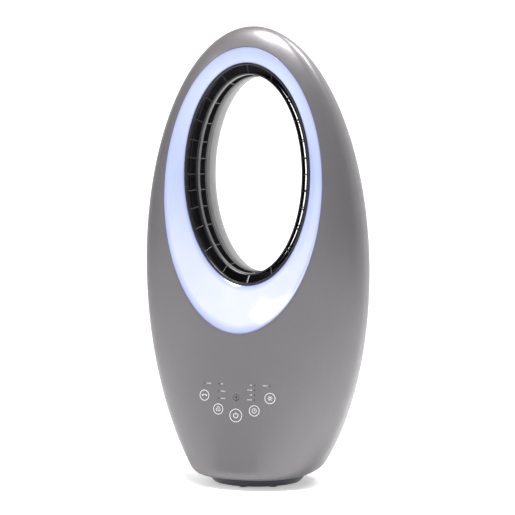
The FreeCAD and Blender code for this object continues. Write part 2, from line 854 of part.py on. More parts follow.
# ---------------------------------------------------------------- swivel base
def build_base():
    """The standing base: feet, cover, ballast, housing, post, fixed gear and its retaining clip."""
    housing = turned("base_housing_body", [
        ("post_radius + bearing_gap", "housing_ceiling"), ("base_foot_radius - base_wall", "housing_ceiling"),
        ("base_foot_radius - base_wall", "base_level"), ("base_foot_radius", "base_level"),
        ("base_top_radius", "base_top"), ("post_radius + bearing_gap", "base_top")])
    gland_hole = cylinder("gland_hole", "gland_radius", 30, 0, "base_foot_radius - 12", "gland_height",
                          BACK)
    cut("base_housing", housing, gland_hole)

    plate = turned("base_cover_body", [
        ("post_bore", "base_level"), ("base_foot_radius - base_wall - 0.2", "base_level"),
        ("base_foot_radius - base_wall - 0.2", "cover_top"), ("post_bore", "cover_top")])
    holes = []
    for index, x, y in circle_points(int(size("foot_count")), "foot_circle"):
        holes.append(cylinder("foot_hole_%d" % index, "foot_radius + screw_gap", 20, x, y, 0))
    notch = cylinder("cover_notch", "gland_radius + fit_gap", 30, 0, "base_foot_radius - 12",
                     "gland_height", BACK)
    cut("base_cover", plate, fuse("cover_holes", holes + [notch]))

    feet = []
    for index, x, y in circle_points(int(size("foot_count")), "foot_circle"):
        feet.append(cylinder("foot_%d" % index, "foot_radius", "foot_height", x, y, 0))
    group("rubber_feet", feet)

    ring("base_weight", "weight_radius", "post_flange_radius + 1", "weight_thickness", 0, 0, "cover_top")

    turned("pivot_post", [
        ("post_bore", "cover_top"), ("post_flange_radius", "cover_top"),
        ("post_flange_radius", "housing_ceiling"), ("post_radius", "housing_ceiling"),
        ("post_radius", "clip_level"), ("post_radius - clip_groove", "clip_level"),
        ("post_radius - clip_groove", "clip_level + clip_thickness"),
        ("post_radius", "clip_level + clip_thickness"), ("post_radius", "post_top"),
        ("post_bore", "post_top")])

    ring("thrust_washer", "washer_outer_radius", "washer_inner_radius",
         "base_gap - washer_gap", 0, 0, "base_top")
    clip = ring("clip_blank", "clip_radius", "post_radius - clip_groove", "clip_thickness", 0, 0,
                "clip_level")
    mouth = box("clip_mouth", "clip_radius + 1", "post_radius", 10, "clip_radius / 2", 0, "clip_level - 2")
    cut("retaining_clip", clip, mouth)

    sleeve = cylinder("gland_sleeve", "gland_radius - 0.1", "gland_length", 0,
                      "base_top_radius + 3 - gland_length", "gland_height", BACK)
    bore = cylinder("gland_hole_bore", "gland_bore", 60, 0, "base_foot_radius - 30", "gland_height", BACK)
    cut("cord_gland", sleeve, bore)


def gear_face(teeth, module, backlash):
    """Outline of a spur gear with straight-flanked teeth, centred on its own axis."""
    pitch = module * teeth / 2
    tip = pitch + 0.85 * module
    root = pitch - 1.1 * module
    step = 2 * math.pi / teeth
    half_pitch_width = step / 4 - backlash / (2 * pitch)
    lean = math.tan(math.radians(20)) * module / pitch
    points = []
    for number in range(teeth):
        middle = number * step
        for radius, half in ((root, half_pitch_width + 1.0 * lean), (tip, half_pitch_width - 0.85 * lean)):
            points.append((radius, middle - half, middle + half))
    outline = []
    for number in range(teeth):
        low_root, low_tip = points[2 * number], points[2 * number + 1]
        outline += [(low_root[0], low_root[1]), (low_tip[0], low_tip[1]),
                    (low_tip[0], low_tip[2]), (low_root[0], low_root[2])]
    corners = [Vector(radius * math.cos(angle), radius * math.sin(angle), 0) for radius, angle in outline]
    return Part.Face(Part.makePolygon(corners + corners[:1]))


def build_swing_drive():
    """Fixed sun gear on the post and the motor-driven pinion that rolls round it."""
    teeth = int(size("gear_teeth"))
    pinion_teeth = int(size("pinion_teeth"))
    module = size("gear_module")
    width = Vector(0, 0, size("gear_width"))
    sun = gear_face(teeth, module, size("gear_backlash")).extrude(width)
    sun.Placement = Placement(Vector(0, 0, size("gear_level")), Rotation(UP, 90))
    bore = round_core(size("post_radius") + 0.02, 0, size("post_top") + 20)
    feature("swing_gear", sun.cut(bore))

    offset = size("drive_offset")
    pinion = gear_face(pinion_teeth, module, size("gear_backlash")).extrude(width)
    half_tooth = 180.0 / pinion_teeth
    pinion.Placement = Placement(Vector(0, offset, size("gear_level")), Rotation(UP, -90 + half_tooth))
    shaft = round_core(size("drive_shaft_radius"), size("gear_level"),
                       size("drive_motor_level") + 8.0, offset)
    feature("swing_pinion", tidy(pinion.fuse(shaft)))

    can = cylinder("drive_can", "drive_motor_radius", "drive_motor_height", 0, "drive_offset",
                   "drive_motor_level")
    ears = box("drive_ears", "2 * drive_motor_radius + 16", 9, 1.6, 0, "drive_offset", "drive_motor_level")
    well = cylinder("drive_well", "drive_shaft_radius + fit_gap", 9, 0, "drive_offset",
                    "drive_motor_level - 0.5")
    holes = [well]
    pillars = []
    screws = []
    for hand in (-1, 1):
        x = "%d * (drive_motor_radius + 4.5)" % hand
        holes.append(cylinder("ear_hole_%d" % (hand + 1), "screw_radius + screw_gap", 9, x, "drive_offset",
                              "drive_motor_level - 3"))
        shank = cylinder("ear_shank_%d" % (hand + 1), "screw_radius", 9.6, x, "drive_offset",
                         "drive_motor_level - 8")
        head = cylinder("ear_head_%d" % (hand + 1), "screw_head_radius", "screw_head_height", x,
                        "drive_offset", "drive_motor_level + 1.6")
        screws.append(fuse("ear_screw_%d" % (hand + 1), [shank, head]))
        pillars.append((x, hand))
    cut("swing_motor", fuse("drive_blank", [can, ears]), fuse("drive_holes", holes))
    group("swing_motor_screws", screws)
    return pillars


def build_turntable(pillars):
    """The tower's floor: hub round the post, flange under the casing and pillars for the motor."""
    plate = turned("turntable_turning", [
        ("post_radius + bearing_gap", "underside_level"), ("plate_radius", "underside_level"),
        ("plate_radius", "plate_top - plate_thickness"),
        ("plate_flange_radius", "plate_top - plate_thickness"), ("plate_flange_radius", "plate_top"),
        ("hub_radius", "plate_top"), ("hub_radius", "hub_top"), ("post_radius + bearing_gap", "hub_top")])
    parts = [plate]
    bores = []
    for x, hand in pillars:
        parts.append(cylinder("pillar_%d" % (hand + 1), 4, "drive_motor_level - plate_top + 1", x,
                              "drive_offset", "plate_top - 1"))
        bores.append(cylinder("pillar_bore_%d" % (hand + 1), "screw_radius + screw_gap", 12, x,
                              "drive_offset", "drive_motor_level - 9"))
    for index, x, y in circle_points(4, "plate_radius - 8", 45):
        bores.append(cylinder("drain_%d" % index, 2.2, 30, x, y, 0))
    cut("turntable_plate", fuse("turntable_blank", parts), fuse("turntable_bores", bores))


# ---------------------------------------------------------------- blower
def build_blower():
    """Blower bucket on rubber-mounted legs, with the impeller, motor and guide vanes inside."""
    y = "blower_setback"
    bucket = turned("blower_turning", [
        ("inlet_radius", "blower_level"), ("blower_radius", "blower_level"), ("blower_radius", "blower_top"),
        ("blower_radius - blower_wall", "blower_top"),
        ("blower_radius - blower_wall", "blower_level + 14"),
        ("inlet_radius + 9", "blower_level + blower_wall"),
        ("inlet_radius + 2", "blower_level + blower_wall"),
        ("inlet_radius", "blower_level + 6")], 0, y)
    parts = [bucket]
    grommets = []
    for index, angle in enumerate(LEG_ANGLES):
        x = "leg_circle * cos(%.1f deg)" % angle
        leg_y = "blower_setback + leg_circle * sin(%.1f deg)" % angle
        parts.append(cylinder("leg_%d" % index, "leg_radius", "blower_level - leg_foot + 1", x, leg_y,
                              "leg_foot"))
        grommets.append(cylinder("grommet_%d" % index, "leg_radius + 2", "grommet_height", x, leg_y,
                                 "plate_top"))
    fuse("blower_housing", parts)
    group("motor_grommets", grommets)

    feature("stator_vanes", stator_shape())

    disc = ring("bracket_disc", "hub_can_radius - hub_can_wall - 0.1", "shaft_radius + 3", 3, 0, y,
                "can_level + 0.2")
    holes = []
    screws = []
    for index, x, offset in circle_points(4, "motor_radius - 8", 45):
        spot = "blower_setback + " + offset
        holes.append(cylinder("bracket_hole_%d" % index, "screw_radius + screw_gap", 12, x, spot,
                              "can_level - 2"))
        shank = cylinder("motor_shank_%d" % index, "screw_radius", 8, x, spot, "can_level + 0.2")
        head = cylinder("motor_head_%d" % index, "screw_head_radius", "screw_head_height", x, spot,
                        "can_level + 0.2 - screw_head_height")
        screws.append(fuse("motor_screw_%d" % index, [shank, head]))
    cut("motor_bracket", disc, fuse("bracket_holes", holes))
    group("motor_screws", screws)

    can = turned("motor_turning", [
        ("shaft_radius + 0.1", "motor_level"), ("motor_radius", "motor_level"),
        ("motor_radius", "motor_top - 6"), ("shaft_radius + 0.1", "motor_top - 6")], 0, y)
    pilots = []
    for index, x, offset in circle_points(4, "motor_radius - 8", 45):
        pilots.append(cylinder("motor_pilot_%d" % index, "screw_radius + screw_gap", 6, x,
                               "blower_setback + " + offset, "motor_level - 1"))
    cut("motor_housing", can, fuse("motor_pilots", pilots))
    turned("motor_end_cap", [
        ("shaft_radius + 0.1", "motor_top - 6"), ("motor_radius + 0.8", "motor_top - 6"),
        ("motor_radius - 4", "motor_top"), ("10", "motor_top"), ("9", "motor_top + 3"),
        ("shaft_radius + 0.1", "motor_top + 3")], 0, y)

    feature("impeller", impeller_shape())
    cylinder("motor_shaft", "shaft_radius", "motor_top - impeller_level + 8", 0, y, "impeller_level - 7")
    nut = DOC.addObject("Part::Prism", "impeller_nut_blank")
    bind(nut, Circumradius="shaft_radius + 2.6", Height="4")
    place(nut, 0, y, "impeller_level - 4.4")
    nut_bore = cylinder("impeller_nut_bore", "shaft_radius + 0.02", 12, 0, y, "impeller_level - 8")
    cut("impeller_nut", nut, nut_bore)


def blower_centre(level):
    """A point on the blower's axis."""
    return Vector(0, size("blower_setback"), level)


def turned_shape(points):
    """A turned block about the blower's axis from (radius, level) numbers."""
    offset = size("blower_setback")
    corners = [Vector(radius, offset, level) for radius, level in points]
    face = Part.Face(Part.makePolygon(corners + corners[:1]))
    return face.revolve(blower_centre(0), UP, 360)


def swept_blade(inner, outer, level, height, thickness, sweep):
    """An upright blade whose plan is an arc from the inner to the outer radius."""
    offset = size("blower_setback")
    lead = math.radians(sweep)

    def spot(radius, angle, side):
        return Vector((radius * math.cos(angle)) - side * math.sin(angle + lead),
                      offset + radius * math.sin(angle) + side * math.cos(angle + lead), level)

    middle = (inner + outer) / 2
    half = thickness / 2
    near = Part.Arc(spot(inner, 0, half), spot(middle, lead * 0.35, half), spot(outer, lead, half))
    far = Part.Arc(spot(inner, 0, -half), spot(middle, lead * 0.35, -half), spot(outer, lead, -half))
    ends = [Part.LineSegment(spot(outer, lead, half), spot(outer, lead, -half)),
            Part.LineSegment(spot(inner, 0, -half), spot(inner, 0, half))]
    wire = Part.Wire(Part.__sortEdges__([near.toShape(), far.toShape()] + [end.toShape() for end in ends]))
    return Part.Face(wire).extrude(Vector(0, 0, height))


def impeller_shape():
    """Mixed-flow impeller: a cone-shaped hub with swept blades trimmed to the bucket."""
    low = size("impeller_level")
    high = size("impeller_top")
    radius = size("impeller_radius")
    hub = turned_shape([(0, low), (14, low), (24, low + 12), (hub_edge(), high), (0, high)])
    envelope = turned_shape([(0, low), (size("inlet_radius") - 2, low), (radius, low + 14), (radius, high),
                             (0, high)])
    shapes = [hub]
    count = int(size("blade_count"))
    blade = swept_blade(10.0, radius + 4, low, high - low, size("blade_thickness"), 38.0).common(envelope)
    for number in range(count):
        turn = blade.copy()
        turn.rotate(blower_centre(0), UP, 360.0 * number / count)
        shapes.append(turn)
    bore = round_core(size("shaft_radius") + 0.02, low - 5, high + 5, size("blower_setback"))
    return tidy(shapes[0].fuse(shapes[1:]).cut(bore))


def hub_edge():
    """Outer radius of the impeller hub's upper end."""
    return size("hub_can_radius") - 1.0


def stator_shape():
    """Guide vanes between the motor's can and the bucket."""
    y = size("blower_setback")
    low = size("can_level")
    high = size("blower_top") - 8.0
    outer = size("hub_can_radius")
    tube = round_core(outer, low, high, y).cut(round_core(outer - size("hub_can_wall"), low, high, y))
    limit = round_core(size("blower_radius") - size("blower_wall") - 0.1, low, high, y)
    shapes = [tube]
    count = int(size("vane_count"))
    vane = swept_blade(outer - 1.0, size("blower_radius"), low + 8, 34.0, 1.6, -24.0).common(limit)
    for number in range(count):
        turn = vane.copy()
        turn.rotate(blower_centre(0), UP, 360.0 * number / count)
        shapes.append(turn)
    return tidy(shapes[0].fuse(shapes[1:]))


# ---------------------------------------------------------------- electronics
def build_electronics():
    """Control board with its pads, lights, buzzer and receiver, and the power board with its parts."""
    front = -size("board_setback")
    box("control_board", "board_width", "board_thickness", "board_height", 0,
        "board_thickness / 2 - board_setback", "board_level")
    inside = egg(size("wall") + 0.3)
    pads = [along_y(x, level, size("key_pad_radius"), 2 * front, front).common(inside)
            for x, level in key_places()]
    feature("touch_pads", Part.makeCompound(pads))
    skin = egg(0.0)
    pipes = [along_y(x, level, size("light_pipe_radius"), 2 * front, front).common(skin)
             for x, level in indicator_places()]
    feature("indicator_pipes", Part.makeCompound(pipes))
    cylinder("buzzer", 5.5, 5, 0, "-board_setback - 5", "rosette_level", BACK)
    lens = cylinder("receiver_lens", 2.4, 5, 13, "-board_setback - 5", "rosette_level - 12", BACK)
    block = box("receiver_block", 6, 3, 7, 13, "-board_setback - 1.5", "rosette_level - 15.5")
    fuse("remote_receiver", [block, lens])

    box("power_board", "power_board_width", "power_board_depth", "board_thickness", 0,
        "power_board_depth / 2 - power_board_setback", "power_board_level")
    top = "power_board_level + board_thickness"
    middle = "power_board_depth / 2 - power_board_setback"
    parts = [box("transformer", 20, 18, 16, -22, middle, top),
             cylinder("capacitor_1", 5, 18, 0, middle, top),
             cylinder("capacitor_2", 4, 14, 12, middle, top),
             box("terminal_block", 12, 9, 10, 27, middle, top)]
    group("power_parts", parts)
    legs = []
    for index, x in enumerate((-34, 34)):
        legs.append(cylinder("spacer_%d" % index, 2.5, "power_board_level - plate_top", x, middle,
                             "plate_top"))
    group("board_spacers", legs)


# ---------------------------------------------------------------- assembly and export
NODES = (
    "base_housing", "base_cover", "rubber_feet", "base_weight", "pivot_post", "thrust_washer",
    "retaining_clip", "swing_gear", "cord_gland",
    "turntable_plate", "front_shell", "rear_shell", "intake_grille", "dust_filter", "shell_screws",
    "light_ring", "light_reflector", "led_board", "leds", "outlet_grille", "air_channel", "air_neck",
    "blower_housing", "motor_grommets", "stator_vanes", "motor_bracket", "motor_screws", "motor_housing",
    "motor_end_cap", "control_board", "touch_pads", "indicator_pipes", "buzzer", "remote_receiver",
    "power_board", "power_parts", "board_spacers", "swing_motor", "swing_motor_screws",
    "impeller", "motor_shaft", "impeller_nut", "swing_pinion",
)


def build_casing():
    """Casing halves, intake, light crescent and air outlet."""
    feature("front_shell", front_shell_shape())
    feature("rear_shell", rear_shell_shape())
    feature("intake_grille", intake_grille_shape())
    feature("dust_filter", dust_filter_shape())
    seat = size("split_setback") + size("screw_seat")
    feature("shell_screws", screws_along_y(shell_post_places(), seat, size("screw_length")))
    sheet = size("sheet_thickness")
    feature("light_ring", funnel(0.0, size("light_thickness")))
    feature("light_reflector", funnel(size("reflector_drop"), sheet, 0.05, 0.97))
    feature("led_board", funnel(size("board_drop"), sheet, 0.2, 0.85))
    feature("leds", led_shapes())
    feature("outlet_grille", outlet_grille_shape())
    feature("air_channel", air_channel_shape())
    feature("air_neck", air_neck_shape())


def export(names):
    """Check every object, then write one file per sub-part."""
    DOC.recompute()
    faults = [item.Name for item in DOC.Objects if "Invalid" in item.State or "Error" in item.State]
    for name in names:
        item = DOC.getObject(name)
        item.Label = name
        if item.Shape.isNull() or not item.Shape.isValid():
            faults.append(name + " shape")
    if faults:
        raise RuntimeError("faulty objects: " + ", ".join(faults))
    os.makedirs("parts", exist_ok=True)
    for name in names:
        DOC.getObject(name).Shape.exportStep("parts/%s.step" % name)
    print("wrote %d sub-parts" % len(names))


build_base()
build_turntable(build_swing_drive())
build_blower()
build_casing()
build_electronics()
export(NODES)
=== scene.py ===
"""Oval bladeless fan on a swivel base: lacquered egg casing, glowing crescent and touch keys."""
import logging
import math
from collections import defaultdict
from dataclasses import dataclass
from enum import Enum
from typing import Callable, Sequence

import bmesh
import bpy
import numpy as np
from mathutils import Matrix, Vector


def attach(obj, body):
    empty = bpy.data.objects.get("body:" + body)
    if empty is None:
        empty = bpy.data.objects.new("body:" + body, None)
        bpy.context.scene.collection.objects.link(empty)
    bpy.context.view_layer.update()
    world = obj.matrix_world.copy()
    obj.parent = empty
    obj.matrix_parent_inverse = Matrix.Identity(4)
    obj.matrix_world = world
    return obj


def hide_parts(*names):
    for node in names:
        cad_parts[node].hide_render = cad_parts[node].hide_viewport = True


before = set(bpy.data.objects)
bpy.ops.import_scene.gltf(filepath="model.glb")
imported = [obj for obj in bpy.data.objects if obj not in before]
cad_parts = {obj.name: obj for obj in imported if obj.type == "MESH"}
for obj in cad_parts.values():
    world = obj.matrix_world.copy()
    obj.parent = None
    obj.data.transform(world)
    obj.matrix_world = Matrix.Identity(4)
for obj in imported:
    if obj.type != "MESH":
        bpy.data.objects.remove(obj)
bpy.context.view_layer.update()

LOG = logging.getLogger("oval_fan")
MM = 0.001
Colour = tuple[float, float, float]
Point = tuple[float, float]
Point3 = tuple[float, float, float]
CORNER_CLIMB, EQUATOR_CLIMB, CROWN_CLIMB = 1.0, 2.0, 3.0
HALVINGS = 44
SMALL_HOLE = 1.6 * MM
SMALL_HOLE_SIDES, LARGE_HOLE_SIDES = 12, 32
ROUNDING_ANGLES = (math.pi / 6, math.pi / 3, math.pi / 2)
BLACK: Colour = (0.0, 0.0, 0.0)
WHITE: Colour = (1.0, 1.0, 1.0)


class Facing(Enum):
    """Which half of the body a point lies on."""

    FRONT = "front"
    REAR = "rear"


class Body(Enum):
    """The bodies that the new pieces ride on."""

    BASE = "base"
    TOWER = "tower"


# ---------------------------------------------------------------- the egg-shaped outside
@dataclass(frozen=True)
class EggForm:
    """The body's outer surface, in metres; every level section is made of four exact conic quarters."""

    total_height: float = 0.600
    underside_level: float = 0.013
    half_width: float = 0.1523
    crown_height: float = 0.3165
    corner_rise: float = 0.011
    corner_run: float = 0.011
    corner_fullness: float = 0.85
    front_depth: float = 0.0733
    front_rise: float = 1.08
    front_roundness: float = 0.96
    rear_depth: float = 0.080
    rear_rise: float = 0.85
    rear_roundness: float = 1.30
    foot_depth: float = 0.084
    top_setback: float = 0.0165

    @property
    def equator(self) -> float:
        """Height of the widest section."""
        return self.total_height - self.crown_height

    @property
    def edge_level(self) -> float:
        """Height where the bottom corner's rounding ends."""
        return self.underside_level + self.corner_rise

    def rows(self) -> np.ndarray:
        """Rows of control values up the body.

        Returns:
            Seven rows of half width, front, side, rear, level and weight.
        """
        bottom, start, top = self.underside_level, self.edge_level, self.total_height
        half_turn = math.asin((self.equator - start) / self.crown_height) / 2
        middle = self.equator - self.crown_height * math.tan(half_turn)
        lean = self.top_setback / (top - bottom)
        high_front = self.front_depth * self.front_rise
        high_rear = self.rear_depth * self.rear_rise
        reach = (self.equator - middle) / self.crown_height
        low_front = self.front_depth + (self.front_depth - high_front) * reach
        low_rear = self.rear_depth + (self.rear_depth - high_rear) * reach
        lower = np.array([self.half_width, -low_front, -lean * (middle - bottom), low_rear, middle])
        edge = np.array([self.half_width * math.cos(2 * half_turn), -self.foot_depth,
                         -lean * (start - bottom), self.foot_depth, start])
        corner = edge - (start - bottom) / (middle - start) * (lower - edge)
        flat = corner + np.array([-self.corner_run, self.corner_run, 0.0, -self.corner_run, 0.0])
        side_top = -lean * (top - bottom)
        side_equator = -lean * (self.equator - bottom)
        return np.array([
            [*flat, 1.0],
            [*corner, self.corner_fullness],
            [*edge, 1.0],
            [*lower, math.cos(half_turn)],
            [self.half_width, -self.front_depth, side_equator, self.rear_depth, self.equator, 1.0],
            [self.half_width, -high_front, side_top, high_rear, top, math.sqrt(0.5)],
            [0.0, side_top, side_top, side_top, top, 1.0],
        ])

    def profile(self, climb: np.ndarray) -> np.ndarray:
        """Section values at a climb from 0 (underside) over 1 (corner) and 2 (equator) to 3 (crown).

        Args:
            climb: climb values of any shape.

        Returns:
            The same shape with a last axis of half width, front, side, rear and level.
        """
        climb = np.asarray(climb, float)
        rows = self.rows()
        band = np.clip(climb.astype(int), 0, 2)
        share = climb - band
        basis = np.stack([(1 - share) ** 2, 2 * share * (1 - share), share ** 2], -1)
        picked = rows[band[..., None] * 2 + np.arange(3)]
        weight = basis * picked[..., 5]
        return (weight[..., None] * picked[..., :5]).sum(-2) / weight.sum(-1)[..., None]

    def climb_at(self, level: np.ndarray) -> np.ndarray:
        """The climb at which the body reaches a height above its bottom corner."""
        return bisect(lambda climb: self.profile(climb)[..., 4] - level, CORNER_CLIMB, CROWN_CLIMB,
                      np.shape(level))

    def roundness(self, facing: Facing) -> float:
        """The section's fullness on one side."""
        return self.front_roundness if facing is Facing.FRONT else self.rear_roundness

    def across(self, section: np.ndarray, turn: np.ndarray, facing: Facing) -> np.ndarray:
        """Points on level sections, from the side (turn 0) to the centre line (turn 1).

        Args:
            section: values from profile().
            turn: how far round each point is.
            facing: front or rear quarter.

        Returns:
            Points on the +X side, with a last axis of x, y, z.
        """
        side_part = (1 - turn) ** 2
        bend_part = 2 * self.roundness(facing) * turn * (1 - turn)
        far_part = turn ** 2
        total = side_part + bend_part + far_part
        skin = section[..., 1 if facing is Facing.FRONT else 3]
        x = section[..., 0] * (side_part + bend_part) / total
        y = (section[..., 2] * side_part + skin * (bend_part + far_part)) / total
        return np.stack([x, y, section[..., 4] + 0 * turn], -1)

    def turn_at(self, share: np.ndarray, facing: Facing) -> np.ndarray:
        """How far round a section its x is the given share of the half width.

        Args:
            share: x as a share of the half width.
            facing: front or rear quarter.

        Returns:
            Turns from 0 at the side to 1 at the centre line.
        """
        share = np.clip(share, 0.0, 1.0)
        rest = 1 - share
        full = self.roundness(facing)
        square = rest * (1 - 2 * full) - share
        linear = rest * (2 * full - 2)
        return (-linear - np.sqrt(np.maximum(linear ** 2 - 4 * square * rest, 0))) / (2 * square)

    def y_at(self, x: np.ndarray, level: np.ndarray, facing: Facing = Facing.FRONT) -> np.ndarray:
        """Where the front or rear surface stands at a given x and height.

        Args:
            x: distances from the centre line.
            level: heights.
            facing: front or rear surface.

        Returns:
            The y of each point.
        """
        x, level = np.broadcast_arrays(np.asarray(x, float), np.asarray(level, float))
        section = self.profile(self.climb_at(level))
        turn = self.turn_at(np.abs(x) / np.maximum(section[..., 0], 1e-9), facing)
        return self.across(section, turn, facing)[..., 1]

    def on(self, x: float, level: float, lift: float = 0.0, facing: Facing = Facing.FRONT) -> Vector:
        """A point on the surface, lifted along its outward normal.

        Args:
            x: distance from the centre line.
            level: height.
            lift: how far off the surface.
            facing: front or rear surface.

        Returns:
            The point.
        """
        step = 0.2 * MM
        spots = self.y_at(np.array([x, x + step, x]), np.array([level, level, level + step]), facing)
        along = Vector((step, spots[1] - spots[0], 0))
        up = Vector((0, spots[2] - spots[0], step))
        normal = along.cross(up).normalized()
        if (normal.y < 0) != (facing is Facing.FRONT):
            normal = -normal
        return Vector((x, spots[0], level)) + normal * lift

    def split_turn(self, section: np.ndarray, split: float) -> np.ndarray:
        """How far round the rear quarters the surface crosses the plane y = split.

        Args:
            section: values from profile().
            split: the plane's y.

        Returns:
            A turn for each section, 1 where the surface stays in front of the plane.
        """
        found = bisect(lambda turn: self.across(section, turn, Facing.REAR)[..., 1] - split,
                       0.0, 1.0, section.shape[:-1])
        return np.where(section[..., 3] <= split, 1.0, found)

    def split_climb(self, split: float) -> float:
        """The climb at which the rear surface's ridge comes forward to y = split."""
        return float(bisect(lambda climb: split - self.profile(climb)[..., 3], EQUATOR_CLIMB,
                            CROWN_CLIMB, ()))


def whole_turn(count: int) -> np.ndarray:
    """Angles all the way round, without the first one again."""
    return np.linspace(0, 2 * math.pi, count, endpoint=False)


def bottom_to_top(count: int) -> np.ndarray:
    """Angles from the bottom of an ellipse up its +X side to the top."""
    return np.linspace(-math.pi / 2, math.pi / 2, count)


def bisect(rising: Callable[[np.ndarray], np.ndarray], low: float, high: float,
           shape: tuple[int, ...]) -> np.ndarray:
    """Where a rising function of an array crosses zero, between two numbers.

    Args:
        rising: the function.
        low: lower end of the search.
        high: upper end of the search.
        shape: shape of the array to search for.

    Returns:
        The crossings.
    """
    lower = np.full(shape, low)
    upper = np.full(shape, high)
    for _ in range(HALVINGS):
        middle = (lower + upper) / 2
        under = rising(middle) < 0
        lower = np.where(under, middle, lower)
        upper = np.where(under, upper, middle)
    return (lower + upper) / 2


@dataclass(frozen=True)
class OvalRim:
    """The opening's ellipse and the crescent's ellipse round it, in metres."""

    half_width: float = 0.085
    half_height: float = 0.142
    level: float = 0.407
    setback: float = 0.040
    rim_width: float = 0.0024
    light_half_width: float = 0.1094
    light_half_height: float = 0.1846
    light_level: float = 0.387

    def spot(self, angle: float | np.ndarray, inset: float | np.ndarray,
             depth: float | np.ndarray) -> np.ndarray:
        """A point round the opening.

        Args:
            angle: ellipse angle, 0 at +X and a quarter turn at the top.
            inset: how far inside the rim, in metres.
            depth: how far behind the rim's front plane, in metres.

        Returns:
            Points with a last axis of x, y, z.
        """
        x = (self.half_width - inset) * np.cos(angle)
        z = self.level + (self.half_height - inset) * np.sin(angle)
        y = depth - self.setback
        x, y, z = np.broadcast_arrays(x, y, z)
        return np.stack([x, y, z], -1)


FORM = EggForm()
RIM = OvalRim()


